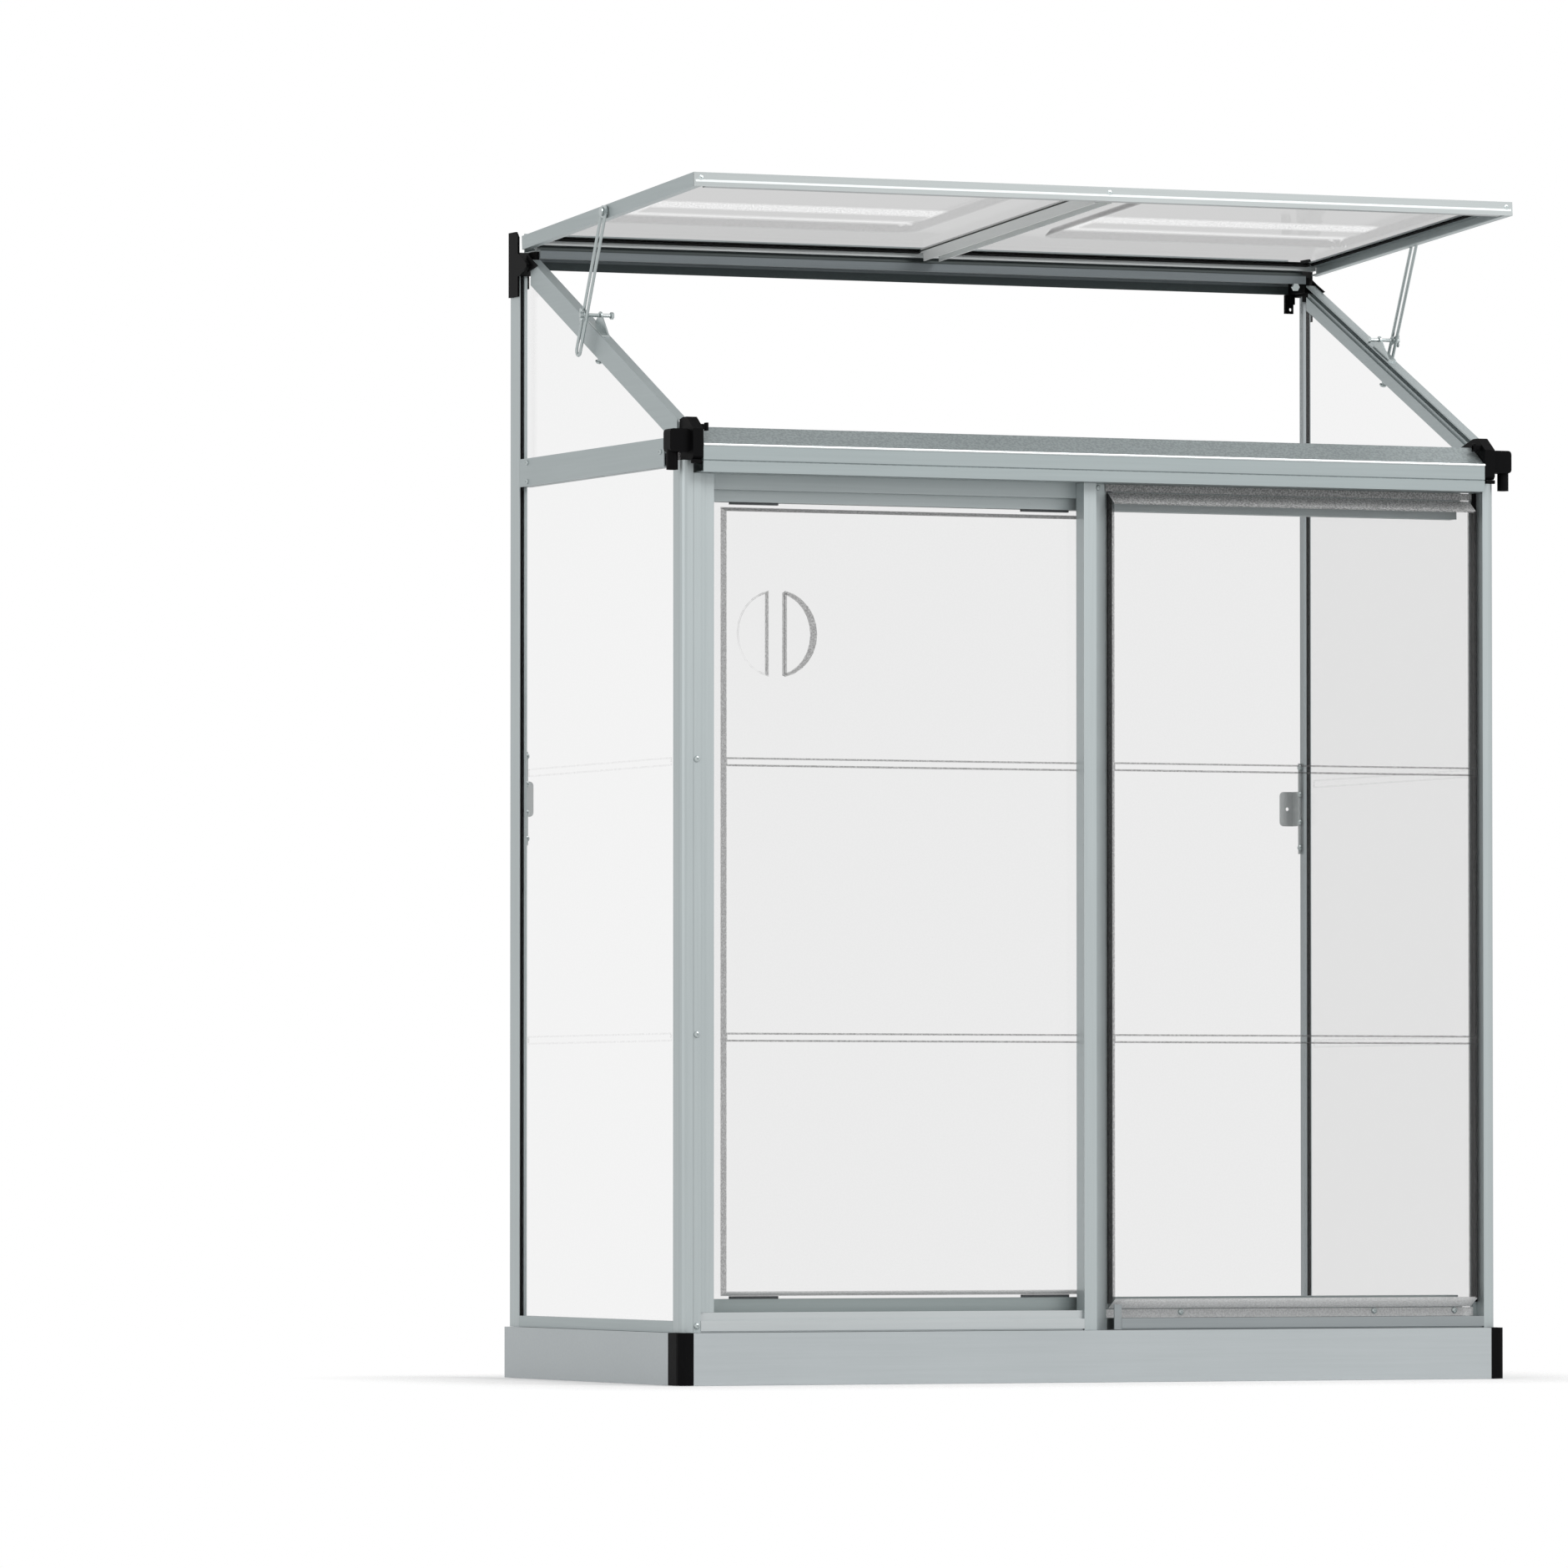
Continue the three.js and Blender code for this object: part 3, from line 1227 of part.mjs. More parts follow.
add('base_front', baseFront(), coatedSheet());
addPair('base_side', baseSide, coatedSheet);
addPair('base_corner', baseCorner, blackPlastic);
addPair('front_post', frontPost, edgeMetal);
add('centre_post', centrePost(), edgeMetal());
addPair('rear_post', rearPost, frameMetal);
addPair('rear_post_seal', rearPostSeal, rubber);
add('door_jamb', doorJamb(), edgeMetal());
addPair('side_rail', sideRail, frameMetal);
addPair('mid_rail', midRail, frameMetal);
addPair('side_panel', sidePanel, clearSheet);
addPair('gable_panel', gablePanel, clearSheet);
addPair('rafter', rafter, edgeMetal);
add('ridge_beam', ridgeBeam(), frameMetal());
addPair('ridge_connector', ridgeConnector, blackPlastic);
add('eave_rail', eaveRail(), edgeMetal());
addPair('gutter_head', gutterHead, blackPlastic);
add('top_track', topTrack(), frameMetal());
add('bottom_track', bottomTrack(), frameMetal());
add('sill_left', sillLeft(), edgeMetal());
add('sill_right', sillRight(), edgeMetal());
add('fixed_panel', fixedPanel(), clearSheet());
add('fixed_panel_seal_left', fixedSeal(centreFlangeRight + gap, centreFlangeRight + gap + fixedSealWidth,
  fixedFlangeFront + sheet + gap, fixedSealBack), rubber());
add('fixed_panel_seal_right', fixedSeal(fixedRight + gap, fixedSealRight,
  fixedSealFront, postBack - wall - gap), rubber());
addPair('wall_bracket', wallBracket, steel);
addPair('stay_rest', stayRest, steel);
addPair('stay_bolt', stayBolt, steel);
add('door_panel', doorPanel(), clearSheet());
add('door_glide_top_left', doorGlide(glideLeft, glideTopLow, glideTopHigh,
  glideTopLow - overrun, doorTop + gap), rubber());
add('door_glide_top_right', doorGlide(glideRight, glideTopLow, glideTopHigh,
  glideTopLow - overrun, doorTop + gap), rubber());
add('door_glide_bottom_left', doorGlide(glideLeft, glideBottomLow, glideBottomHigh,
  doorBottom - gap, glideBottomHigh + overrun), rubber());
add('door_glide_bottom_right', doorGlide(glideRight, glideBottomLow, glideBottomHigh,
  doorBottom - gap, glideBottomHigh + overrun), rubber());
add('lid_front_rail', lidFrontRail(), edgeMetal());
add('lid_rear_rail', lidRearRail(), frameMetal());
addPair('lid_side_rail', lidSideRail, frameMetal);
add('lid_mid_bar', lidMidBar(), frameMetal());
addPair('lid_panel', lidPanel, clearSheet);
addPair('lid_seal', lidSeal, rubber);
addPair('stay_pivot', stayPivot, steel);
addPair('stay', stay, steel);

// The origin sits under the middle of the whole object
const bounds = new THREE.Box3().setFromObject(assembly);
for (const mesh of assembly.children) {
  mesh.geometry.translate(0, -(bounds.min.y + bounds.max.y) / 2, 0);
}

export default assembly;
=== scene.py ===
import math

import bmesh
import bpy
from mathutils import Matrix, Vector


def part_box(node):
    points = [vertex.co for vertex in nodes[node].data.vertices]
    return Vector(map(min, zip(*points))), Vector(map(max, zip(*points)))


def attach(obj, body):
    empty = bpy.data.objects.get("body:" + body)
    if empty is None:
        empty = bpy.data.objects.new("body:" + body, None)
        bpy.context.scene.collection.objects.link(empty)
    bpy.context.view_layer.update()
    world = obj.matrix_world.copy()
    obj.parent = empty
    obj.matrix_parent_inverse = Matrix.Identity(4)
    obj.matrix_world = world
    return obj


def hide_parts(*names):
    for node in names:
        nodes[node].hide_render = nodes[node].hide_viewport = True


# Metres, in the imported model's frame: X along the wall, Y towards the wall, Z up.
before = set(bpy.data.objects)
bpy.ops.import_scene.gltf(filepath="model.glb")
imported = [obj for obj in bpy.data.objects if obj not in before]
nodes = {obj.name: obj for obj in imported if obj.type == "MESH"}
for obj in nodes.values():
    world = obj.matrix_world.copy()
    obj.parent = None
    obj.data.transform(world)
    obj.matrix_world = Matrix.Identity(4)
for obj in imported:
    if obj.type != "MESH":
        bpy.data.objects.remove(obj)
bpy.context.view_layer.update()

# Named lengths are millimetres, unless their value is multiplied by MM or their comment says metres.
# The frame's own lengths are counted from the front of the base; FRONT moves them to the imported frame.
MM = 0.001
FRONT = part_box("base_front")[0].y
SIDES = ((-1, "left"), (1, "right"))


def at(x, y, z):
    """A point given in millimetres from the middle, the front of the base and the ground."""
    return Vector((x * MM, y * MM + FRONT, z * MM))


# The raised lid's own axes
HINGE_Y, HINGE_Z = 578.5, 1569.0
LID_TILT = math.radians(3.8)
LID_BACK = Vector((0, math.cos(LID_TILT), -math.sin(LID_TILT)))
LID_UP = Vector((0, math.sin(LID_TILT), math.cos(LID_TILT)))


def lid_point(x, y, z):
    """A point in the raised lid's own axes, in millimetres from its hinge line, Z out of its face."""
    return at(0, HINGE_Y, HINGE_Z) + Vector((x * MM, 0, 0)) + LID_BACK * (y * MM) + LID_UP * (z * MM)


# Colours and nodes
BLACK, WHITE = (0, 0, 0), (1, 1, 1)
FULL_COLOUR = 255
SRGB_STEP, SRGB_SLOPE, SRGB_OFFSET, SRGB_POWER = 0.04045, 12.92, 0.055, 2.4
SOFT_BAND = (0.3, 0.7)
NOISE_DETAIL = 2.0


def grey(value):
    return (value, value, value)


def linear(value):
    """A channel from 0 to 255 as the renderer counts it."""
    share = value / FULL_COLOUR
    if share <= SRGB_STEP:
        return share / SRGB_SLOPE
    return ((share + SRGB_OFFSET) / (1 + SRGB_OFFSET)) ** SRGB_POWER


def shade(colour, change=0):
    """A colour with its three channels from 0 to 255, made lighter or darker by a change."""
    return tuple(linear(value + change) for value in colour)


def scaled(colour, share):
    return shade(tuple(value * share for value in colour))


def new_material(name):
    material = bpy.data.materials.new(name)
    material.use_nodes = True
    tree = material.node_tree
    tree.nodes.clear()
    return material, tree


def node(tree, kind, inputs=None, **settings):
    """A new node, whose inputs each take another node's output or a plain value."""
    made = tree.nodes.new(kind)
    for key, value in settings.items():
        setattr(made, key, value)
    for key, value in (inputs or {}).items():
        if isinstance(value, bpy.types.NodeSocket):
            tree.links.new(value, made.inputs[key])
        else:
            made.inputs[key].default_value = value
    return made


def maths(tree, operation, *values):
    return node(tree, "ShaderNodeMath", dict(enumerate(values)), operation=operation).outputs["Value"]


def vector_maths(tree, operation, result, *values):
    return node(tree, "ShaderNodeVectorMath", dict(enumerate(values)), operation=operation).outputs[result]


def noise(tree, scale, detail=NOISE_DETAIL, stretch=(1, 1, 1)):
    place = node(tree, "ShaderNodeTexCoord").outputs["Object"]
    spot = node(tree, "ShaderNodeMapping", {"Vector": place, "Scale": stretch}).outputs["Vector"]
    return node(tree, "ShaderNodeTexNoise", {"Vector": spot, "Scale": scale, "Detail": detail}).outputs["Fac"]


def ramp(tree, factor, low, high, band=SOFT_BAND):
    """A colour that goes from low to high while the factor goes through the band."""
    made = node(tree, "ShaderNodeValToRGB", {"Fac": factor})
    for element, position, colour in zip(made.color_ramp.elements, band, (low, high)):
        element.position = position
        element.color = (*colour, 1)
    return made.outputs["Color"]


def blend(tree, factor, first, second, kind="MIX"):
    """A colour between two others, or multiplied by the second; each may be an output or three numbers."""
    first, second = ((*colour, 1) if isinstance(colour, tuple) else colour for colour in (first, second))
    inputs = {"Factor": factor, "A": first, "B": second}
    return node(tree, "ShaderNodeMix", inputs, data_type="RGBA", blend_type=kind).outputs["Result"]


def mixed(tree, factor, first, second):
    """A shader between two others."""
    return node(tree, "ShaderNodeMixShader", {"Fac": factor, 1: first, 2: second}).outputs["Shader"]


def finished(material, shader):
    """The material, with a shader as its surface."""
    node(material.node_tree, "ShaderNodeOutputMaterial", {"Surface": shader})
    return material


def piece_normal(tree):
    """The face's direction in the piece's own axes, so that it stays the same when the piece moves."""
    facing = node(tree, "ShaderNodeNewGeometry").outputs["True Normal"]
    return node(tree, "ShaderNodeVectorTransform", {"Vector": facing}, vector_type="NORMAL",
                convert_from="WORLD", convert_to="OBJECT").outputs["Vector"]


def along(tree, axis):
    """How nearly a face lies square to an axis, from minus one to one."""
    return vector_maths(tree, "DOT_PRODUCT", "Value", piece_normal(tree), axis)


def squareness(tree, axis, band):
    """One where a face lies square to the axis, falling to nothing on slopes and cut edges."""
    return ramp(tree, maths(tree, "ABSOLUTE", along(tree, axis)), BLACK, WHITE, band)


def above(tree, height, softness):
    """Nothing below a height and one above it, both in metres, with a soft step between."""
    position = node(tree, "ShaderNodeNewGeometry").outputs["Position"]
    level = node(tree, "ShaderNodeSeparateXYZ", {"Vector": position}).outputs["Z"]
    step = {"Value": level, "From Min": height - softness, "From Max": height + softness}
    return node(tree, "ShaderNodeMapRange", step).outputs["Result"]


# Metal and plastic
ALONG_X, ALONG_Y, ALONG_Z = 0, 1, 2
UP = (0, 0, 1)
GRAIN_SCALE, GRAIN_DETAIL = 1.0, 4.0
GRAIN_ACROSS, GRAIN_ALONG = 260, 5
GRAIN_BAND, GRAIN_SPREAD = (0.25, 0.75), 2.5
CLOUD_SCALE, CLOUD_DARKEST = 6.0, 0.975
SPOT_SCALE, SPOT_BAND = 300.0, (0.42, 0.58)
UPWARD_BAND = (0.3, 0.5)
BUMP_HEIGHT = 0.2 * MM
METAL_BUMP, PLASTIC_BUMP = 0.04, 0.15
SKIN_SCALE, SKIN_DARK, SKIN_PALE = 900.0, 0.8, 1.2


def skinned(material, body, height, bump, shine):
    """The material with a body colour, a fine bump and the values that set its shine."""
    tree = material.node_tree
    bumps = {"Height": height, "Strength": bump, "Distance": BUMP_HEIGHT}
    normal = node(tree, "ShaderNodeBump", bumps).outputs["Normal"]
    shader = node(tree, "ShaderNodeBsdfPrincipled", {"Base Color": body, "Normal": normal, **shine})
    return finished(material, shader.outputs["BSDF"])


def grain_lines(tree, axis):
    """Fine lines drawn out along an axis."""
    stretch = [GRAIN_ACROSS] * 3
    stretch[axis] = GRAIN_ALONG
    return noise(tree, GRAIN_SCALE, GRAIN_DETAIL, stretch)


def metal(name, colour, grain_axis, metallic=0.55, roughness=0.42, speckle=0.0):
    """Drawn or rolled metal with a fine grain; speckle darkens spots on its upward faces."""
    material, tree = new_material(name)
    lines = grain_lines(tree, grain_axis)
    body = ramp(tree, lines, shade(colour, -GRAIN_SPREAD), shade(colour, GRAIN_SPREAD), GRAIN_BAND)
    cloud = ramp(tree, noise(tree, CLOUD_SCALE), grey(CLOUD_DARKEST), WHITE)
    body = blend(tree, 1.0, body, cloud, "MULTIPLY")
    if speckle:
        spots = ramp(tree, noise(tree, SPOT_SCALE), grey(1 - speckle), WHITE, SPOT_BAND)
        upward = ramp(tree, along(tree, UP), BLACK, WHITE, UPWARD_BAND)
        body = blend(tree, upward, body, spots, "MULTIPLY")
    return skinned(material, body, lines, METAL_BUMP, {"Metallic": metallic, "Roughness": roughness})


def plastic(name, colour, roughness, shine=0.15):
    material, tree = new_material(name)
    skin = noise(tree, SKIN_SCALE)
    body = ramp(tree, skin, scaled(colour, SKIN_DARK), scaled(colour, SKIN_PALE))
    return skinned(material, body, skin, PLASTIC_BUMP, {"Roughness": roughness, "Specular IOR Level": shine})


# Painted shade on the ridge: darker where it looks forward or down, as in the shade of the raised lid, and
# darkest in the grooves along its two edges
RIDGE_BARE, RIDGE_FACE_SHADE = (165, 173, 174), (112, 119, 122)
RIDGE_FOOT_SHADE, RIDGE_GROOVE_SHADE = (62, 71, 72), (50, 57, 57)
RIDGE_SPREAD = 3
RIDGE_FOOT_TOP, RIDGE_FACE_TOP, RIDGE_DARK_TOP = 1545.5 * MM, 1556.5 * MM, 1564.0 * MM
RIDGE_SOFTNESS = 0.6 * MM
RIDGE_SHINE = {"Metallic": 0.5, "Roughness": 0.45}
FORWARD_AND_DOWN, FORWARD_BAND = (0, -0.9, -0.44), (0.1, 0.3)


def ridge_painted_shade_metal(name):
    material, tree = new_material(name)
    lines = grain_lines(tree, ALONG_X)
    bare = ramp(tree, lines, shade(RIDGE_BARE, -RIDGE_SPREAD), shade(RIDGE_BARE, RIDGE_SPREAD))
    face = ramp(tree, lines, shade(RIDGE_FACE_SHADE, -RIDGE_SPREAD), shade(RIDGE_FACE_SHADE, RIDGE_SPREAD), GRAIN_BAND)
    body = blend(tree, above(tree, RIDGE_FOOT_TOP, RIDGE_SOFTNESS), shade(RIDGE_FOOT_SHADE), face)
    body = blend(tree, above(tree, RIDGE_FACE_TOP, RIDGE_SOFTNESS), body, shade(RIDGE_GROOVE_SHADE))
    # Faces that look forward or down take the painted shade; the rest keep the bare colour
    forward = ramp(tree, along(tree, FORWARD_AND_DOWN), BLACK, WHITE, FORWARD_BAND)
    body = blend(tree, forward, bare, body)
    body = blend(tree, above(tree, RIDGE_DARK_TOP, RIDGE_SOFTNESS), body, bare)
    return skinned(material, body, lines, METAL_BUMP, RIDGE_SHINE)


# Clear sheet
SHEET_NOISE = 420.0
TINT_SPREAD = 0.004
GLOSS_ROUGHNESS, GLOSS_POWER, GLOSS_LEAST = 0.04, 5.0, 0.05
WALL_ROUGHNESS, WALL_GLOW = 0.25, 0.35
LOW_END, LOW_END_SOFTNESS = 200.0 * MM, 20.0 * MM
HIGH_END, HIGH_END_SOFTNESS = 1150.0 * MM, 10.0 * MM
RIM_SOFTNESS = 0.5 * MM
LEVEL_BAND, STEEP_BAND, FLAT_BAND = (0.1, 0.3), (0.85, 0.95), (0.86, 0.97)
FINE_BAND, WALL_SPREAD = (0.4, 0.6), 0.1
LOW_MILK_SPREAD, HIGH_MILK_SPREAD = 12, 28


def flat_sheet(tree, fine, tint, gloss_share):
    """The flat of a clear sheet: tinted see-through with a gloss that grows at low angles."""
    tone = ramp(tree, fine, grey(tint - TINT_SPREAD), grey(tint + TINT_SPREAD))
    see_through = node(tree, "ShaderNodeBsdfTransparent", {"Color": tone}).outputs["BSDF"]
    gloss = node(tree, "ShaderNodeBsdfGlossy", {"Roughness": GLOSS_ROUGHNESS}).outputs["BSDF"]
    low_angle = maths(tree, "POWER", node(tree, "ShaderNodeLayerWeight").outputs["Facing"], GLOSS_POWER)
    share = maths(tree, "MULTIPLY_ADD", low_angle, gloss_share, gloss_share * GLOSS_LEAST)
    return mixed(tree, share, see_through, gloss)


def formed_sheet(tree, tint, milk, haze):
    """The walls and bends of a clear sheet: tinted see-through mixed with a milky haze."""
    see_through = node(tree, "ShaderNodeBsdfTransparent", {"Color": tint}).outputs["BSDF"]
    skin = node(tree, "ShaderNodeBsdfPrincipled", {"Base Color": milk, "Roughness": WALL_ROUGHNESS})
    glow = node(tree, "ShaderNodeBsdfTranslucent", {"Color": milk})
    body = mixed(tree, WALL_GLOW, skin.outputs["BSDF"], glow.outputs["BSDF"])
    return mixed(tree, haze, see_through, body)


def beyond_rims(tree, rims):
    """One below the first rim's height and above the last one's."""
    outside = blend(tree, above(tree, rims[0], RIM_SOFTNESS), WHITE, BLACK)
    return blend(tree, above(tree, rims[1], RIM_SOFTNESS), outside, WHITE)


def wall_tint(tree, fine, axis, wall, steep):
    spread = min(WALL_SPREAD, 1 - wall)
    tint = ramp(tree, fine, grey(wall - spread), grey(wall + spread), FINE_BAND)
    if steep:
        return blend(tree, squareness(tree, axis, STEEP_BAND), grey(steep), tint)
    return tint


# The walls' milky grey; the darker grey above the high end is painted shade on the sheets' upper walls
def wall_milk(tree, fine, milk, near_top):
    low = ramp(tree, fine, shade(grey(milk[0]), -LOW_MILK_SPREAD), shade(grey(milk[0]), LOW_MILK_SPREAD),
               FINE_BAND)
    high = ramp(tree, fine, shade(grey(milk[1]), -HIGH_MILK_SPREAD), shade(grey(milk[1]), HIGH_MILK_SPREAD),
                SPOT_BAND)
    return blend(tree, near_top, low, high)


def clear(name, axis, tint, wall, gloss_share=0.3, haze=(0.85, 0.06), milk=(215, 160), flat=FLAT_BAND,
          rims=None, steep=None):
    """Clear formed sheet, whose flat lies square to the axis. Wall is the tint of its walls, and steep that
    of the steep ones where they have their own. The first haze is that of the sloping walls near the sheet's
    two ends and of the rims, and the second that of the rest. Milk is the walls' grey below and above the
    high end."""
    material, tree = new_material(name)
    fine = noise(tree, SHEET_NOISE)
    near_top = above(tree, HIGH_END, HIGH_END_SOFTNESS)
    sloping = squareness(tree, UP, LEVEL_BAND)
    square = squareness(tree, axis, flat)
    if rims:
        outside = beyond_rims(tree, rims)
        sloping = blend(tree, outside, sloping, WHITE)
        square = blend(tree, outside, square, BLACK)
    ends, rest = grey(haze[0]), grey(haze[1])
    share = blend(tree, above(tree, LOW_END, LOW_END_SOFTNESS), ends, rest)
    share = blend(tree, near_top, share, ends)
    share = blend(tree, sloping, rest, share)
    tone = wall_tint(tree, fine, axis, wall, steep)
    # The walls' grey is darker above the high end: painted shade
    walls = formed_sheet(tree, tone, wall_milk(tree, fine, milk, near_top), share)
    return finished(material, mixed(tree, square, walls, flat_sheet(tree, fine, tint, gloss_share)))


# The fixed sheet's rims reach this far up from its lower edge and down from its upper one
FIXED_RIM_LOW, FIXED_RIM_HIGH = 11.7 * MM, 9.6 * MM
FIXED_RIMS = (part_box("fixed_panel")[0].z + FIXED_RIM_LOW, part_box("fixed_panel")[1].z - FIXED_RIM_HIGH)

# All materials, and the look of each of the frame's pieces by the start of its name
FACING_FRONT, FACING_SIDE = (0, 1, 0), (1, 0, 0)
LID_FLAT_BAND = (0.9975, 0.9992)
materials = {
    "post": metal("post_metal", (176, 184, 185), ALONG_Z),
    # The rear right post's darker copy of the post metal is painted shade
    "rear_post_right": metal("shaded_post_metal", (155, 162, 164), ALONG_Z),
    "rail_x": metal("rail_metal", (170, 178, 179), ALONG_X),
    "track": metal("track_metal", (150, 159, 159), ALONG_X),
    # The right sill's darker copy of the sill metal is painted shade; the right sill's end cap wears it too
    "sill_left": metal("sill_metal", (190, 195, 196), ALONG_X),
    "sill_right": metal("shaded_sill_metal", (146, 152, 154), ALONG_X),
    "ridge": ridge_painted_shade_metal("ridge_painted_shade_metal"),
    "rail_y": metal("side_rail_metal", (165, 174, 175), ALONG_Y),
    "lid_rail": metal("lid_rail_metal", (158, 163, 163), ALONG_X),
    # The lid's mid bar is lightened far above the other aluminium, with little metal shine, as painted light
    # against its shade under the lid
    "lid_bar": metal("lid_bar_painted_light_metal", (232, 235, 234), ALONG_Y, metallic=0.2),
    "eave": metal("eave_metal", (157, 166, 167), ALONG_X, speckle=0.22),
    # Near-white metal for the gutter's rolled lip and the lid's front line: painted highlight
    "bead": metal("bead_painted_highlight_metal", (235, 240, 240), ALONG_X, metallic=0.3, roughness=0.25),
    "sheet": metal("base_sheet_metal", (178, 184, 186), ALONG_X, metallic=0.45, roughness=0.5),
    "zinc": metal("zinc_plate", (176, 184, 184), ALONG_Z, metallic=0.8, roughness=0.3),
    "bracket": metal("bracket_metal", (190, 194, 194), ALONG_Z, metallic=0.4, roughness=0.4),
    "black": plastic("black_moulding", (9, 9, 10), roughness=0.55, shine=0.05),
    "seal": plastic("gasket_rubber", (12, 12, 13), roughness=0.7, shine=0.1),
    "glide": plastic("glide_plastic", (118, 121, 123), roughness=0.5),
    "door_clear": clear("door_sheet", FACING_FRONT, tint=0.915, wall=0.62, milk=(240, 165)),
    "fixed_clear": clear("fixed_sheet", FACING_FRONT, tint=0.915, wall=0.62, milk=(245, 198),
                         rims=FIXED_RIMS),
    "side_clear": clear("side_sheet", FACING_SIDE, tint=0.955, wall=0.88, haze=(0.1, 0.04)),
    "lid_clear": clear("lid_sheet", tuple(LID_UP), tint=0.80, wall=0.96, gloss_share=0.1,
                       haze=(0.12, 0.12), milk=(236, 226), flat=LID_FLAT_BAND, steep=0.74),
}
LOOKS = {
    "base_front": "sheet", "base_side": "sheet", "base_corner": "black", "front_post": "post",
    "centre_post": "post", "rear_post_seal": "seal", "rear_post": "post",
    "rear_post_right": "rear_post_right", "door_jamb": "post", "side_rail": "rail_y", "mid_rail": "rail_y",
    "side_panel": "side_clear", "gable_panel": "side_clear", "rafter": "rail_y", "ridge_beam": "ridge",
    "ridge_connector": "black", "eave_rail": "eave", "gutter_head": "black", "top_track": "rail_x",
    "bottom_track": "track", "sill_left": "sill_left", "sill_right": "sill_right",
    "fixed_panel_seal": "seal", "fixed_panel": "fixed_clear", "wall_bracket": "bracket",
    "stay_rest": "zinc", "stay_bolt": "zinc", "door_panel": "door_clear", "door_glide": "glide",
    "lid_front_rail": "lid_rail", "lid_rear_rail": "bracket", "lid_side_rail": "rail_y",
    "lid_mid_bar": "lid_bar", "lid_panel": "lid_clear", "lid_seal": "seal", "stay_pivot": "zinc",
    "stay": "zinc",
}
EDGE_ROUND = 0.5
ROUND_STEPS = 2
ROUND_ANGLE = math.radians(40)


def soften(piece, width):
    """Round a piece's sharp edges by a width."""
    bevel = piece.modifiers.new("edge", "BEVEL")
    bevel.width = width * MM
    bevel.segments = ROUND_STEPS
    bevel.limit_method = "ANGLE"
    bevel.angle_limit = ROUND_ANGLE


def dress_cad():
    """Give each piece the look with the longest fitting name, and round the edges of all but clear sheets."""
    names = sorted(LOOKS, key=len, reverse=True)
    for name, piece in nodes.items():
        look = LOOKS[next(start for start in names if name.startswith(start))]
        piece.data.materials.clear()
        piece.data.materials.append(materials[look])
        if not look.endswith("clear"):
            soften(piece, EDGE_ROUND)


# Shapes of small pieces; a profile is pairs of a radius and a place along the axis
CIRCLE_STEPS, SCREW_STEPS, HEAD_STEPS, ROD_STEPS, NUT_CORNERS = 20, 18, 16, 14, 6
PAN_SHARES = ((0, 0), (1, 0), (1, 0.35), (0.86, 0.75), (0.55, 1), (0.32, 1), (0.26, 0.45), (0, 0.4))
NUT_SHARES = ((0, 0), (0.92, 0), (1, 0.15), (1, 0.85), (0.92, 1), (0, 1))


def piece_from(name, look, body, slot, build, *sizes):
    """A new piece of a look and a body, whose shape the build function makes from the sizes; the slot is not
    used.
    """
    mesh = bpy.data.meshes.new(name)
    shape = bmesh.new()
    build(shape, *sizes)
    bmesh.ops.recalc_face_normals(shape, faces=shape.faces)
    shape.to_mesh(mesh)
    shape.free()
    made = bpy.data.objects.new(name, mesh)
    bpy.context.scene.collection.objects.link(made)
    made.data.materials.append(materials[look])
    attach(made, body)
    return made


def ring(shape, matrix, radius, reach, steps):
    """One circle of corners across the axis, or a single corner on it."""
    if radius == 0:
        return [shape.verts.new(matrix @ Vector((0, 0, reach)))]
    turns = [2 * math.pi * step / steps for step in range(steps)]
    return [shape.verts.new(matrix @ Vector((radius * math.cos(turn), radius * math.sin(turn), reach)))
            for turn in turns]


def turned(shape, profile, place, axis, steps=CIRCLE_STEPS):
    """A turned solid, whose profile is closed on the axis at both ends."""
    turn = Vector(UP).rotation_difference(Vector(axis)).to_matrix().to_4x4()
    matrix = Matrix.Translation(place) @ turn
    rings = [ring(shape, matrix, radius * MM, reach * MM, steps) for radius, reach in profile]
    for low, high in zip(rings, rings[1:]):
        for step in range(steps):
            following = (step + 1) % steps
            corners = [low[step % len(low)], low[following % len(low)],
                       high[following % len(high)], high[step % len(high)]]
            unique = list(dict.fromkeys(corners))
            if len(unique) > 2:
                shape.faces.new(unique)


def sized(shares, radius, height):
    return [(radius * across, height * reach) for across, reach in shares]


def screw_heads(shape, places, axis, radius, height):
    """Domed screw heads with a sunk drive."""
    for place in places:
        turned(shape, sized(PAN_SHARES, radius, height), place, axis, SCREW_STEPS)


def hex_nut(shape, place, axis, radius, height):
    """A six-sided nut with its corners eased."""
    turned(shape, sized(NUT_SHARES, radius, height), place, axis, NUT_CORNERS)


def rod(shape, start, end, radius, steps=ROD_STEPS):
    axis = end - start
    length = axis.length / MM
    turned(shape, ((0, 0), (radius, 0), (radius, length), (0, length)), start, axis, steps)


def block(shape, first, second, place):
    """A block between any two opposite corners; place turns three numbers into a point."""
    spans = [sorted(pair) for pair in zip(first, second)]
    made = bmesh.ops.create_cube(shape, size=1)
    for corner in made["verts"]:
        shares = [reach + 1 / 2 for reach in corner.co]
        corner.co = place(*(low + (high - low) * share for (low, high), share in zip(spans, shares)))


def mirrored(corner, side):
    """A corner that is given for the right side, on either side."""
    return (side * corner[0], corner[1], corner[2])


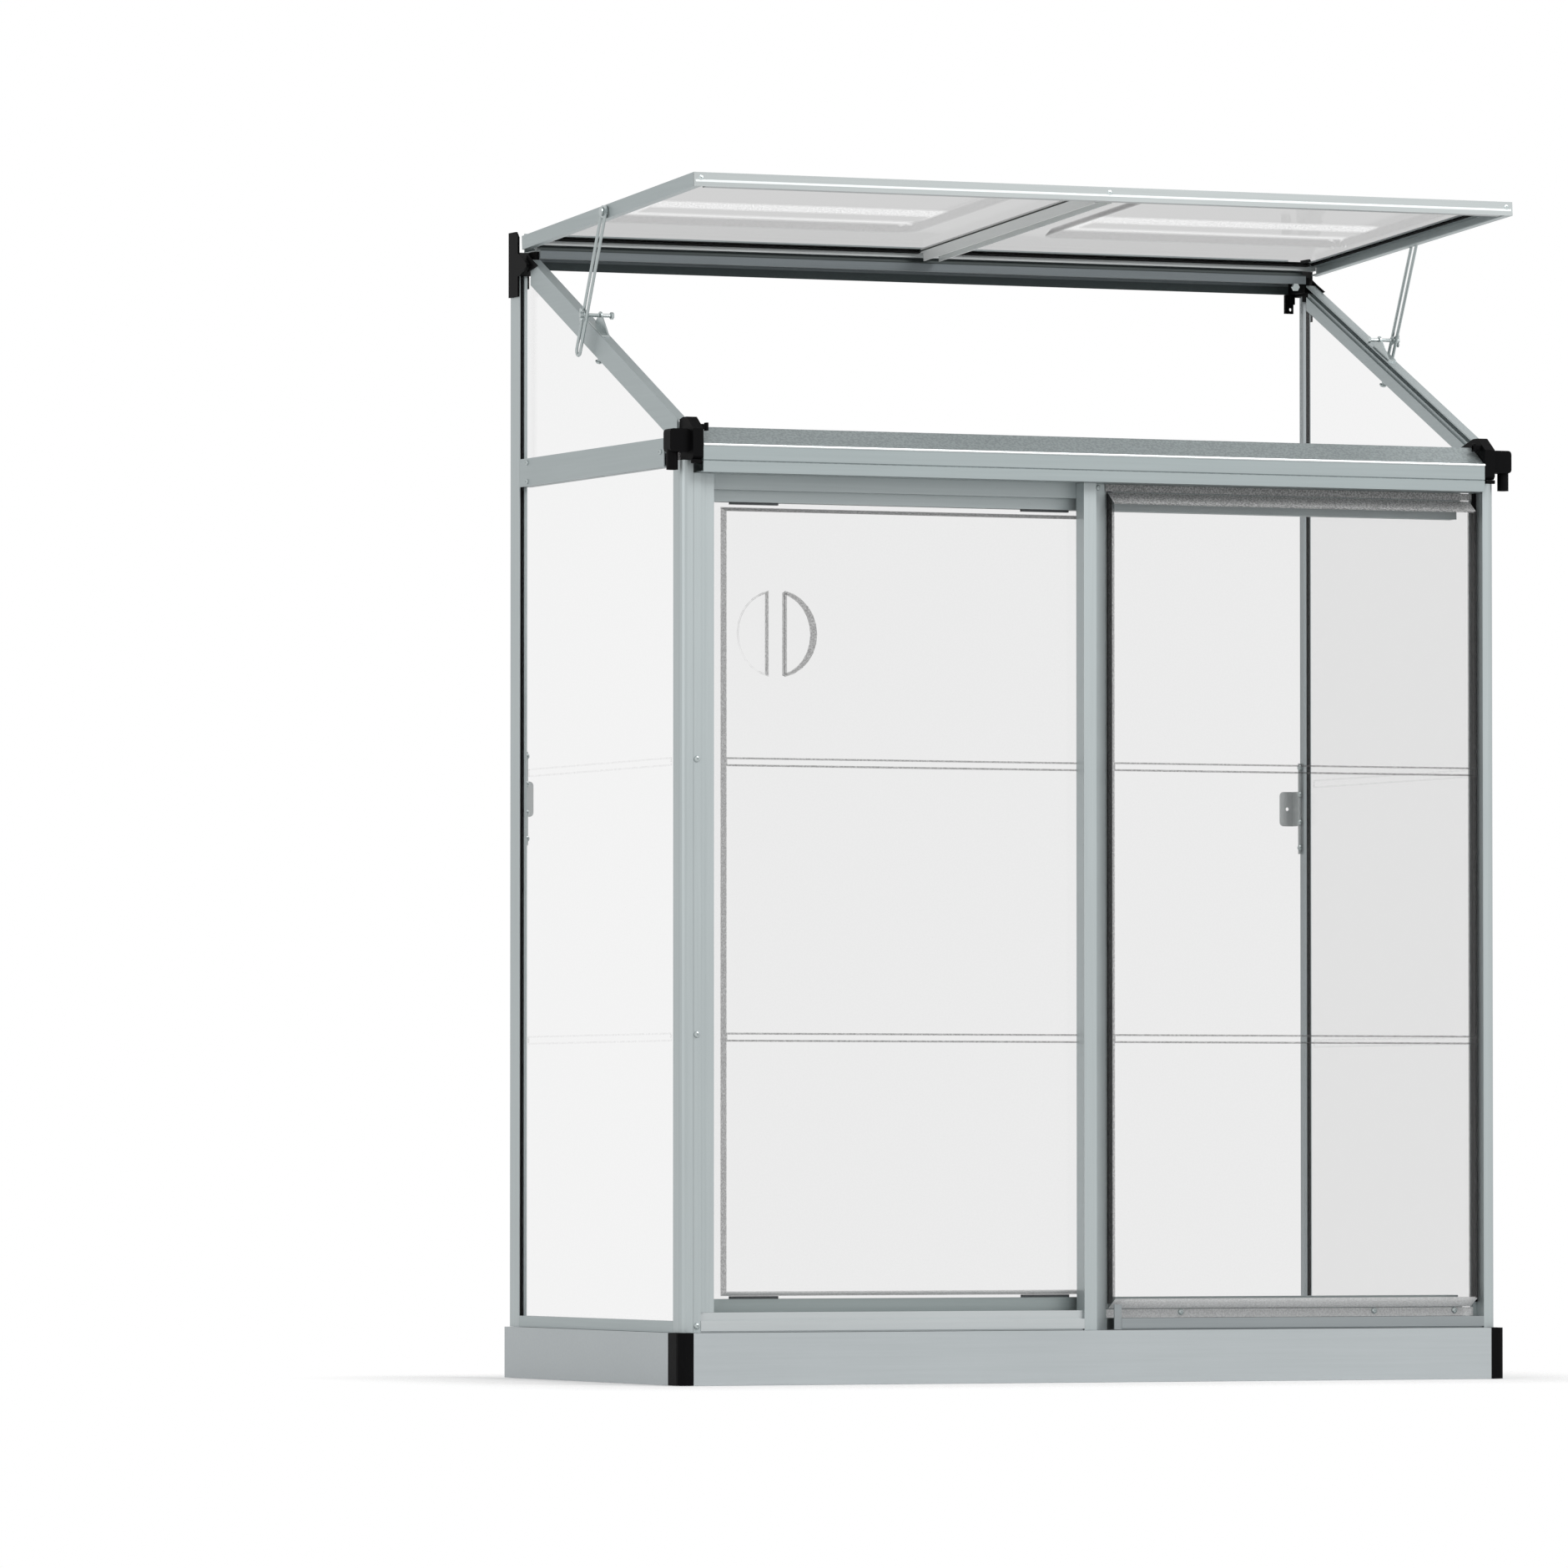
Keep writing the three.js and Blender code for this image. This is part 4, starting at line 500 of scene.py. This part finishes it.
# Screws
TO_FRONT = (0, -1, 0)
SCREW_RADIUS, SCREW_HEIGHT = 4.2, 2.4
JAMB_SCREW_X, JAMB_SCREW_Y = -585.0, 13.0
JAMB_SCREW_HEIGHTS = (836.0, 468.0, 79.0)
FIXED_SCREW_Y, FIXED_SCREW_Z = 34.4, 94.0
FIXED_SCREW_PLACES = (139.0, 432.0, 555.0)
CENTRE_SCREW_PLACE, CENTRE_SCREW_RADIUS = (17.0, 36.4, 1214.0), 3.6
MID_RAIL_FACE, MID_RAIL_SCREW_RADIUS = 608.0, 3.5
MID_RAIL_SCREW_PLACES = ((560.0, 1262.0), (560.0, 1236.0), (84.0, 1250.0))
BRACKET_SCREW_X, BRACKET_SCREW_Y = 594.0, 596.3
BRACKET_SCREW_HEIGHTS = (744.0, 780.0, 819.5, 858.0)
LID_SCREW_PLACES = (-601.0, 0.0, 602.0)
LID_SCREW_Y, LID_SCREW_Z, LID_SCREW_HEIGHT = -617.6, -0.5, 1.2


def screws(name, places, axis, body, radius=SCREW_RADIUS, height=SCREW_HEIGHT):
    piece_from(name, "zinc", body, "zinc_steel", screw_heads, places, axis, radius, height)


def add_screws():
    places = [at(JAMB_SCREW_X, JAMB_SCREW_Y, z) for z in JAMB_SCREW_HEIGHTS]
    screws("jamb_screws", places, TO_FRONT, "frame")
    places = [at(x, FIXED_SCREW_Y, FIXED_SCREW_Z) for x in FIXED_SCREW_PLACES]
    screws("fixed_panel_screws", places, TO_FRONT, "frame")
    screws("centre_post_screws", [at(*CENTRE_SCREW_PLACE)], TO_FRONT, "frame", radius=CENTRE_SCREW_RADIUS)
    for side, name in SIDES:
        places = [at(side * MID_RAIL_FACE, y, z) for y, z in MID_RAIL_SCREW_PLACES]
        screws(f"mid_rail_screws_{name}", places, (side, 0, 0), "frame", radius=MID_RAIL_SCREW_RADIUS)
        places = [at(side * BRACKET_SCREW_X, BRACKET_SCREW_Y, z) for z in BRACKET_SCREW_HEIGHTS]
        screws(f"bracket_screws_{name}", places, TO_FRONT, "frame")
    places = [lid_point(x, LID_SCREW_Y, LID_SCREW_Z) for x in LID_SCREW_PLACES]
    screws("lid_front_screws", places, -LID_BACK, "lid", height=LID_SCREW_HEIGHT)


# The stays' rest bolts: a shank in each rafter, and the nut and washers that pinch the stay's two wires
BOLT_Y, BOLT_Z, BOLT_RADIUS = 335.0, 1451.0, 2.6
SHANK_INNER, SHANK_OUTER = 594.0, 609.2
CLAMP_INNER, CLAMP_OUTER = 612.0, 617.0
WASHER_PLACES, WING_NUT_X = (611.2, 616.8), 617.7
WASHER_PROFILE = ((0, 0), (6.2, 0), (6.5, 0.3), (6.5, 0.7), (6.2, 1.0), (0, 1.0))
HUB_PROFILE = ((0, 0), (4.2, 0), (3.6, 4.5), (0, 4.5))
NUT_WING_PROFILE = ((0, 0), (3.0, 0.2), (3.6, 1.0), (3.0, 1.8), (0, 2.0))
NUT_WING_SETBACK, NUT_WING_RISE = 2.2, 6.2


def bolt_rod(shape, side, inner, outer):
    """A length of a rest bolt between two places across the part."""
    rod(shape, at(side * inner, BOLT_Y, BOLT_Z), at(side * outer, BOLT_Y, BOLT_Z), BOLT_RADIUS)


def wing_nut(shape, side):
    """A hub with two round wings, turned upright."""
    place = at(side * WING_NUT_X, BOLT_Y, BOLT_Z)
    out = Vector((side, 0, 0))
    turned(shape, HUB_PROFILE, place, out, HEAD_STEPS)
    for up in (-1, 1):
        wing = place + out * (NUT_WING_SETBACK * MM) + Vector((0, 0, up * NUT_WING_RISE * MM))
        turned(shape, NUT_WING_PROFILE, wing, out, ROD_STEPS)


def clamp_nut(shape, side):
    for x in WASHER_PLACES:
        turned(shape, WASHER_PROFILE, at(side * x, BOLT_Y, BOLT_Z), (side, 0, 0))
    bolt_rod(shape, side, CLAMP_INNER, CLAMP_OUTER)
    wing_nut(shape, side)


def add_stay_bolts():
    for side, name in SIDES:
        piece_from(f"rest_bolt_shank_{name}", "zinc", "frame", "zinc_steel", bolt_rod, side, SHANK_INNER,
                   SHANK_OUTER)
        piece_from(f"stay_wing_nut_{name}", "zinc", f"stay_{name}_body", "zinc_steel", clamp_nut, side)


# The bolts under the rafters, square to their slope
RAFTER_SLOPE = 0.481
RAFTER_Y, RAFTER_Z, RAFTER_DEPTH = 336.0, 1434.8, 35.5
UNDER_BOLT_X, UNDER_BOLT_Y, UNDER_BOLT_SINK = 595.5, 327.0, 1.0
UNDER_BOLT_AXIS = Vector((0, 0.434, -0.901))
UNDER_BOLT_LENGTH, UNDER_HEAD_REACH = 9.0, 8.5
UNDER_HEAD_PROFILE = ((0, 0), (5.2, 0), (5.2, 1.0), (4.0, 2.8), (0, 3.4))


def under_bolt(shape, side):
    under = RAFTER_Z + RAFTER_SLOPE * (UNDER_BOLT_Y - RAFTER_Y) - RAFTER_DEPTH
    start = at(side * UNDER_BOLT_X, UNDER_BOLT_Y, under + UNDER_BOLT_SINK)
    rod(shape, start, start + UNDER_BOLT_AXIS * (UNDER_BOLT_LENGTH * MM), BOLT_RADIUS)
    head = start + UNDER_BOLT_AXIS * (UNDER_HEAD_REACH * MM)
    turned(shape, UNDER_HEAD_PROFILE, head, UNDER_BOLT_AXIS, HEAD_STEPS)


def add_rafter_bolts():
    for side, name in SIDES:
        piece_from(f"rafter_bolt_{name}", "zinc", "frame", "zinc_steel", under_bolt, side)


# The ridge's one nut that shows, and the thin wings with which its connectors lap over the rafters
RIDGE_NUT_PLACE, RIDGE_NUT_RADIUS, RIDGE_NUT_HEIGHT = (570.0, 561.5, 1540.5), 6.0, 5.0
WING_INNER, WING_OUTER = 602.8, 604.4
WING_OUTLINE = ((533.0, 1533.0), (556.0, 1543.5), (572.0, 1551.0), (576.0, 1525.0))


def add_ridge_nut():
    piece_from("ridge_nut", "zinc", "frame", "zinc_steel", hex_nut, at(*RIDGE_NUT_PLACE), TO_FRONT,
               RIDGE_NUT_RADIUS, RIDGE_NUT_HEIGHT)


def connector_wing(shape, side):
    inner, outer = ([shape.verts.new(at(side * x, y, z)) for y, z in WING_OUTLINE]
                    for x in (WING_INNER, WING_OUTER))
    shape.faces.new(inner)
    shape.faces.new(outer)
    for i in range(len(inner)):
        shape.faces.new((inner[i - 1], inner[i], outer[i], outer[i - 1]))


def add_connector_wings():
    for side, name in SIDES:
        piece_from(f"connector_wing_{name}", "black", "frame", "black_plastic", connector_wing, side)


# Small catches that hold the gutter between its two heads, as two corners on the right side
CLIP_CATCH = ((572.0, 4.0, 1277.0), (584.0, 10.0, 1284.0))
CLIP_NIB = ((572.0, 3.0, 1275.0), (576.0, 11.0, 1286.0))
CLIP_HOOK = ((586.0, -6.5, 1230.5), (600.0, -1.0, 1235.5))
CLIP_ROUND = 0.8


def head_clips(shape, side):
    for low, high in (CLIP_CATCH, CLIP_NIB, CLIP_HOOK):
        block(shape, mirrored(low, side), mirrored(high, side), at)


def add_head_clips():
    for side, name in SIDES:
        made = piece_from(f"head_clips_{name}", "black", "frame", "black_plastic", head_clips, side)
        soften(made, CLIP_ROUND)


# The rolled lip along the gutter's front edge, near-white as a painted highlight, and the cap on the right
# sill's inner end, in the right sill's painted-shade metal
EAVE_BEAD_HALF, EAVE_BEAD_Y, EAVE_BEAD_Z = 583.7, -7.0, 1256.0
EAVE_BEAD_RADIUS, EAVE_BEAD_STEPS = 1.8, 12
CAP_GAP, CAP_INSET = 0.2 * MM, 0.4 * MM
CAP_FRONT, CAP_BACK = 0.5 * MM, 2.5 * MM


def add_eave_bead():
    start, end = (at(side * EAVE_BEAD_HALF, EAVE_BEAD_Y, EAVE_BEAD_Z) for side, _ in SIDES)
    piece_from("eave_bead", "bead", "frame", "edge_aluminium", rod, start, end, EAVE_BEAD_RADIUS,
               EAVE_BEAD_STEPS)


def metres(x, y, z):
    return Vector((x, y, z))


def add_sill_cap():
    low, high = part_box("sill_right")
    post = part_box("centre_post")[1].x
    piece_from("sill_end_cap", "sill_right", "frame", "edge_aluminium", block,
               (post + CAP_GAP, low.y + CAP_FRONT, low.z + CAP_INSET),
               (low.x, low.y + CAP_BACK, high.z - CAP_INSET), metres)


# Black glazing strips beside the lid's two sheets and a raised line along its front rail, near-white as a
# painted highlight, in the lid's axes
STRIP = ((596.0, -600.0, 1.0), (598.2, -17.0, 3.4))
FRONT_LINE = ((-609.0, -618.65, -5.9), (609.0, -618.0, -2.6))
TRIM_ROUND = 0.3


def side_strips(shape):
    for side, _ in SIDES:
        block(shape, mirrored(STRIP[0], side), mirrored(STRIP[1], side), lid_point)


def add_lid_trim():
    soften(piece_from("lid_side_strips", "seal", "lid", "seal_rubber", side_strips), TRIM_ROUND)
    soften(piece_from("lid_front_line", "bead", "lid", "edge_aluminium", block, *FRONT_LINE, lid_point),
           TRIM_ROUND)


# The lid's two formed sheets, each with a raised tray and a shallow dip across it, in the lid's axes
SHEET_INNER, SHEET_OUTER = 1.3, 609.1
SHEET_FRONT, SHEET_BACK = -616.4, -12.3
SHEET_LOW, SHEET_THICKNESS = 3.0, 1.6
TRAY_INNER, TRAY_OUTER = 97.0, 567.0
TRAY_FRONT, TRAY_BACK = -572.0, -176.0
TRAY_CORNER, TRAY_WALL, TRAY_RISE = 26.0, 9.0, 9.2
DIP_FRONT, DIP_FRONT_RUN = -325.0, 25.0
DIP_BACK, DIP_BACK_RUN = -196.0, 54.0
DIP_END_RUN, DIP_DEPTH = 14.0, 5.0
TRAY_LINES = (0, 3.0, 6.0, 9.0, 14.0, 20.0, 26.0, 36.0)


def clamp(value):
    return max(0.0, min(1.0, value))


def past_corner(place, low, high):
    """How far a place lies beyond the start of the tray's rounded corners, along one of its sides."""
    return abs(place - (low + high) / 2) - ((high - low) / 2 - TRAY_CORNER)


def sheet_rise(x, y):
    """How far the formed sheet stands above its flange at a place on the lid."""
    across = past_corner(x, TRAY_INNER, TRAY_OUTER)
    deep = past_corner(y, TRAY_FRONT, TRAY_BACK)
    inside = TRAY_CORNER - math.hypot(max(across, 0), max(deep, 0)) - min(max(across, deep), 0)
    dip = min(clamp((y - DIP_FRONT) / DIP_FRONT_RUN), clamp((DIP_BACK - y) / DIP_BACK_RUN),
              clamp((inside - TRAY_WALL) / DIP_END_RUN))
    return TRAY_RISE * clamp(inside / TRAY_WALL) - DIP_DEPTH * dip


def lines_between(start, low, high, end, extra=()):
    """Grid lines across a sheet, close together at the tray's two walls."""
    lines = {start, end, *extra}
    lines.update(low + step for step in TRAY_LINES)
    lines.update(high - step for step in TRAY_LINES)
    return sorted(lines)


def rim_of(last_x, last_y):
    """The places in a grid of corners that lie around its edge, in order."""
    rim = [(i, 0) for i in range(last_x)] + [(last_x, j) for j in range(last_y)]
    return rim + [(i, last_y) for i in range(last_x, 0, -1)] + [(0, j) for j in range(last_y, 0, -1)]


def formed_lid_sheet(shape, side):
    """A lid sheet as one closed shell, with an under and an upper skin joined around their edge."""
    across = lines_between(SHEET_INNER, TRAY_INNER, TRAY_OUTER, SHEET_OUTER)
    dip = (DIP_FRONT, DIP_FRONT + DIP_FRONT_RUN, DIP_BACK - DIP_BACK_RUN)
    deep = lines_between(SHEET_FRONT, TRAY_FRONT, TRAY_BACK, SHEET_BACK, dip)
    under, over = ([[shape.verts.new(lid_point(side * x, y, lift + sheet_rise(x, y))) for y in deep]
                    for x in across] for lift in (SHEET_LOW, SHEET_LOW + SHEET_THICKNESS))
    last_x, last_y = len(across) - 1, len(deep) - 1
    for skin in (under, over):
        for i in range(last_x):
            for j in range(last_y):
                shape.faces.new((skin[i][j], skin[i + 1][j], skin[i + 1][j + 1], skin[i][j + 1]))
    rim = rim_of(last_x, last_y)
    for (i, j), (next_i, next_j) in zip(rim, rim[1:] + rim[:1]):
        shape.faces.new((under[i][j], under[next_i][next_j], over[next_i][next_j], over[i][j]))


def add_lid_sheets():
    for side, name in SIDES:
        made = piece_from(f"lid_sheet_{name}", "lid_clear", "lid", "clear_panel", formed_lid_sheet, side)
        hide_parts(f"lid_panel_{name}")


dress_cad()
add_screws()
add_stay_bolts()
add_rafter_bolts()
add_ridge_nut()
add_connector_wings()
add_head_clips()
add_eave_bead()
add_sill_cap()
add_lid_trim()
add_lid_sheets()


# Camera, with its reach in metres
VIEW = Vector((0.39621, 0.91760, 0.03220)).normalized()
EYE = at(-6471.0, -13912.3, 315.5)
LENS, SENSOR = 260.0, 36.0
FARTHEST = 100.0


def add_camera():
    data = bpy.data.cameras.new("camera")
    data.lens = LENS
    data.sensor_width = SENSOR
    data.clip_end = FARTHEST
    camera = bpy.data.objects.new("camera", data)
    camera.location = EYE
    camera.rotation_euler = VIEW.to_track_quat("-Z", "Y").to_euler()
    bpy.context.scene.collection.objects.link(camera)
    bpy.context.scene.camera = camera


# Floor, in metres: full beside the base and faded away from it, so that only the object's shadow shows
FLOOR_RADIUS, FLOOR_STEPS, FLOOR_DROP = 6.0, 96, 0.0005
FADE_REACH, FADE_LEAST = 0.32, 0.25
FLOOR_NOISE, FLOOR_DARK, FLOOR_PALE = 60.0, 0.94, 0.96


def floor_look():
    low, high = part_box("base_front")[0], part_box("base_side_right")[1]
    material, tree = new_material("pale_floor")
    place = node(tree, "ShaderNodeTexCoord").outputs["Object"]
    folded = vector_maths(tree, "ABSOLUTE", "Vector", place)
    beyond = vector_maths(tree, "SUBTRACT", "Vector", folded, (high.x, (high.y - low.y) / 2, 0))
    outside = vector_maths(tree, "MAXIMUM", "Vector", beyond)
    distance = vector_maths(tree, "LENGTH", "Value", outside)
    fading = {"Value": distance, "From Max": FADE_REACH, "To Min": FADE_LEAST}
    fade = node(tree, "ShaderNodeMapRange", fading, interpolation_type="SMOOTHSTEP").outputs["Result"]
    tone = ramp(tree, noise(tree, FLOOR_NOISE), grey(FLOOR_DARK), grey(FLOOR_PALE))
    matt = node(tree, "ShaderNodeBsdfDiffuse", {"Color": tone}).outputs["BSDF"]
    away = node(tree, "ShaderNodeBsdfTransparent").outputs["BSDF"]
    return finished(material, mixed(tree, fade, matt, away))


def add_floor():
    mesh = bpy.data.meshes.new("floor")
    shape = bmesh.new()
    bmesh.ops.create_circle(shape, cap_ends=True, radius=FLOOR_RADIUS, segments=FLOOR_STEPS)
    shape.to_mesh(mesh)
    shape.free()
    floor = bpy.data.objects.new("floor", mesh)
    floor.location = (0, 0, -FLOOR_DROP)
    bpy.context.scene.collection.objects.link(floor)
    mesh.materials.append(floor_look())


# Lights, in metres and watts; the room is dimmer for matt faces than for the camera and for gloss
LIGHT_TARGET = (0, 0, 0.8)
KEY_PLACE, KEY_SIZE, KEY_POWER = (2.6, -4.2, 4.6), 2.6, 190
FILL_PLACE, FILL_SIZE, FILL_POWER = (-4.6, -3.0, 2.6), 3.0, 60
ROOM_DIM, ROOM_BRIGHT = 0.55, 1.0


def add_area(name, place, size, power):
    data = bpy.data.lights.new(name, "AREA")
    data.shape = "RECTANGLE"
    data.size = size
    data.size_y = size
    data.energy = power
    lamp = bpy.data.objects.new(name, data)
    lamp.location = place
    lamp.rotation_euler = (Vector(LIGHT_TARGET) - Vector(place)).to_track_quat("-Z", "Y").to_euler()
    bpy.context.scene.collection.objects.link(lamp)


def add_light():
    add_area("key", KEY_PLACE, KEY_SIZE, KEY_POWER)
    add_area("fill", FILL_PLACE, FILL_SIZE, FILL_POWER)
    world = bpy.data.worlds.new("studio")
    bpy.context.scene.world = world
    world.use_nodes = True
    tree = world.node_tree
    tree.nodes.clear()
    path = node(tree, "ShaderNodeLightPath").outputs
    seen = maths(tree, "MAXIMUM", path["Is Camera Ray"], path["Is Glossy Ray"])
    seen = maths(tree, "MAXIMUM", seen, path["Is Transmission Ray"])
    room = {"Value": seen, "To Min": ROOM_DIM, "To Max": ROOM_BRIGHT}
    strength = node(tree, "ShaderNodeMapRange", room).outputs["Result"]
    light = node(tree, "ShaderNodeBackground", {"Color": (*WHITE, 1), "Strength": strength})
    node(tree, "ShaderNodeOutputWorld", {"Surface": light.outputs["Background"]})


add_camera()
add_floor()
add_light()
bpy.context.scene.view_settings.view_transform = "Standard"
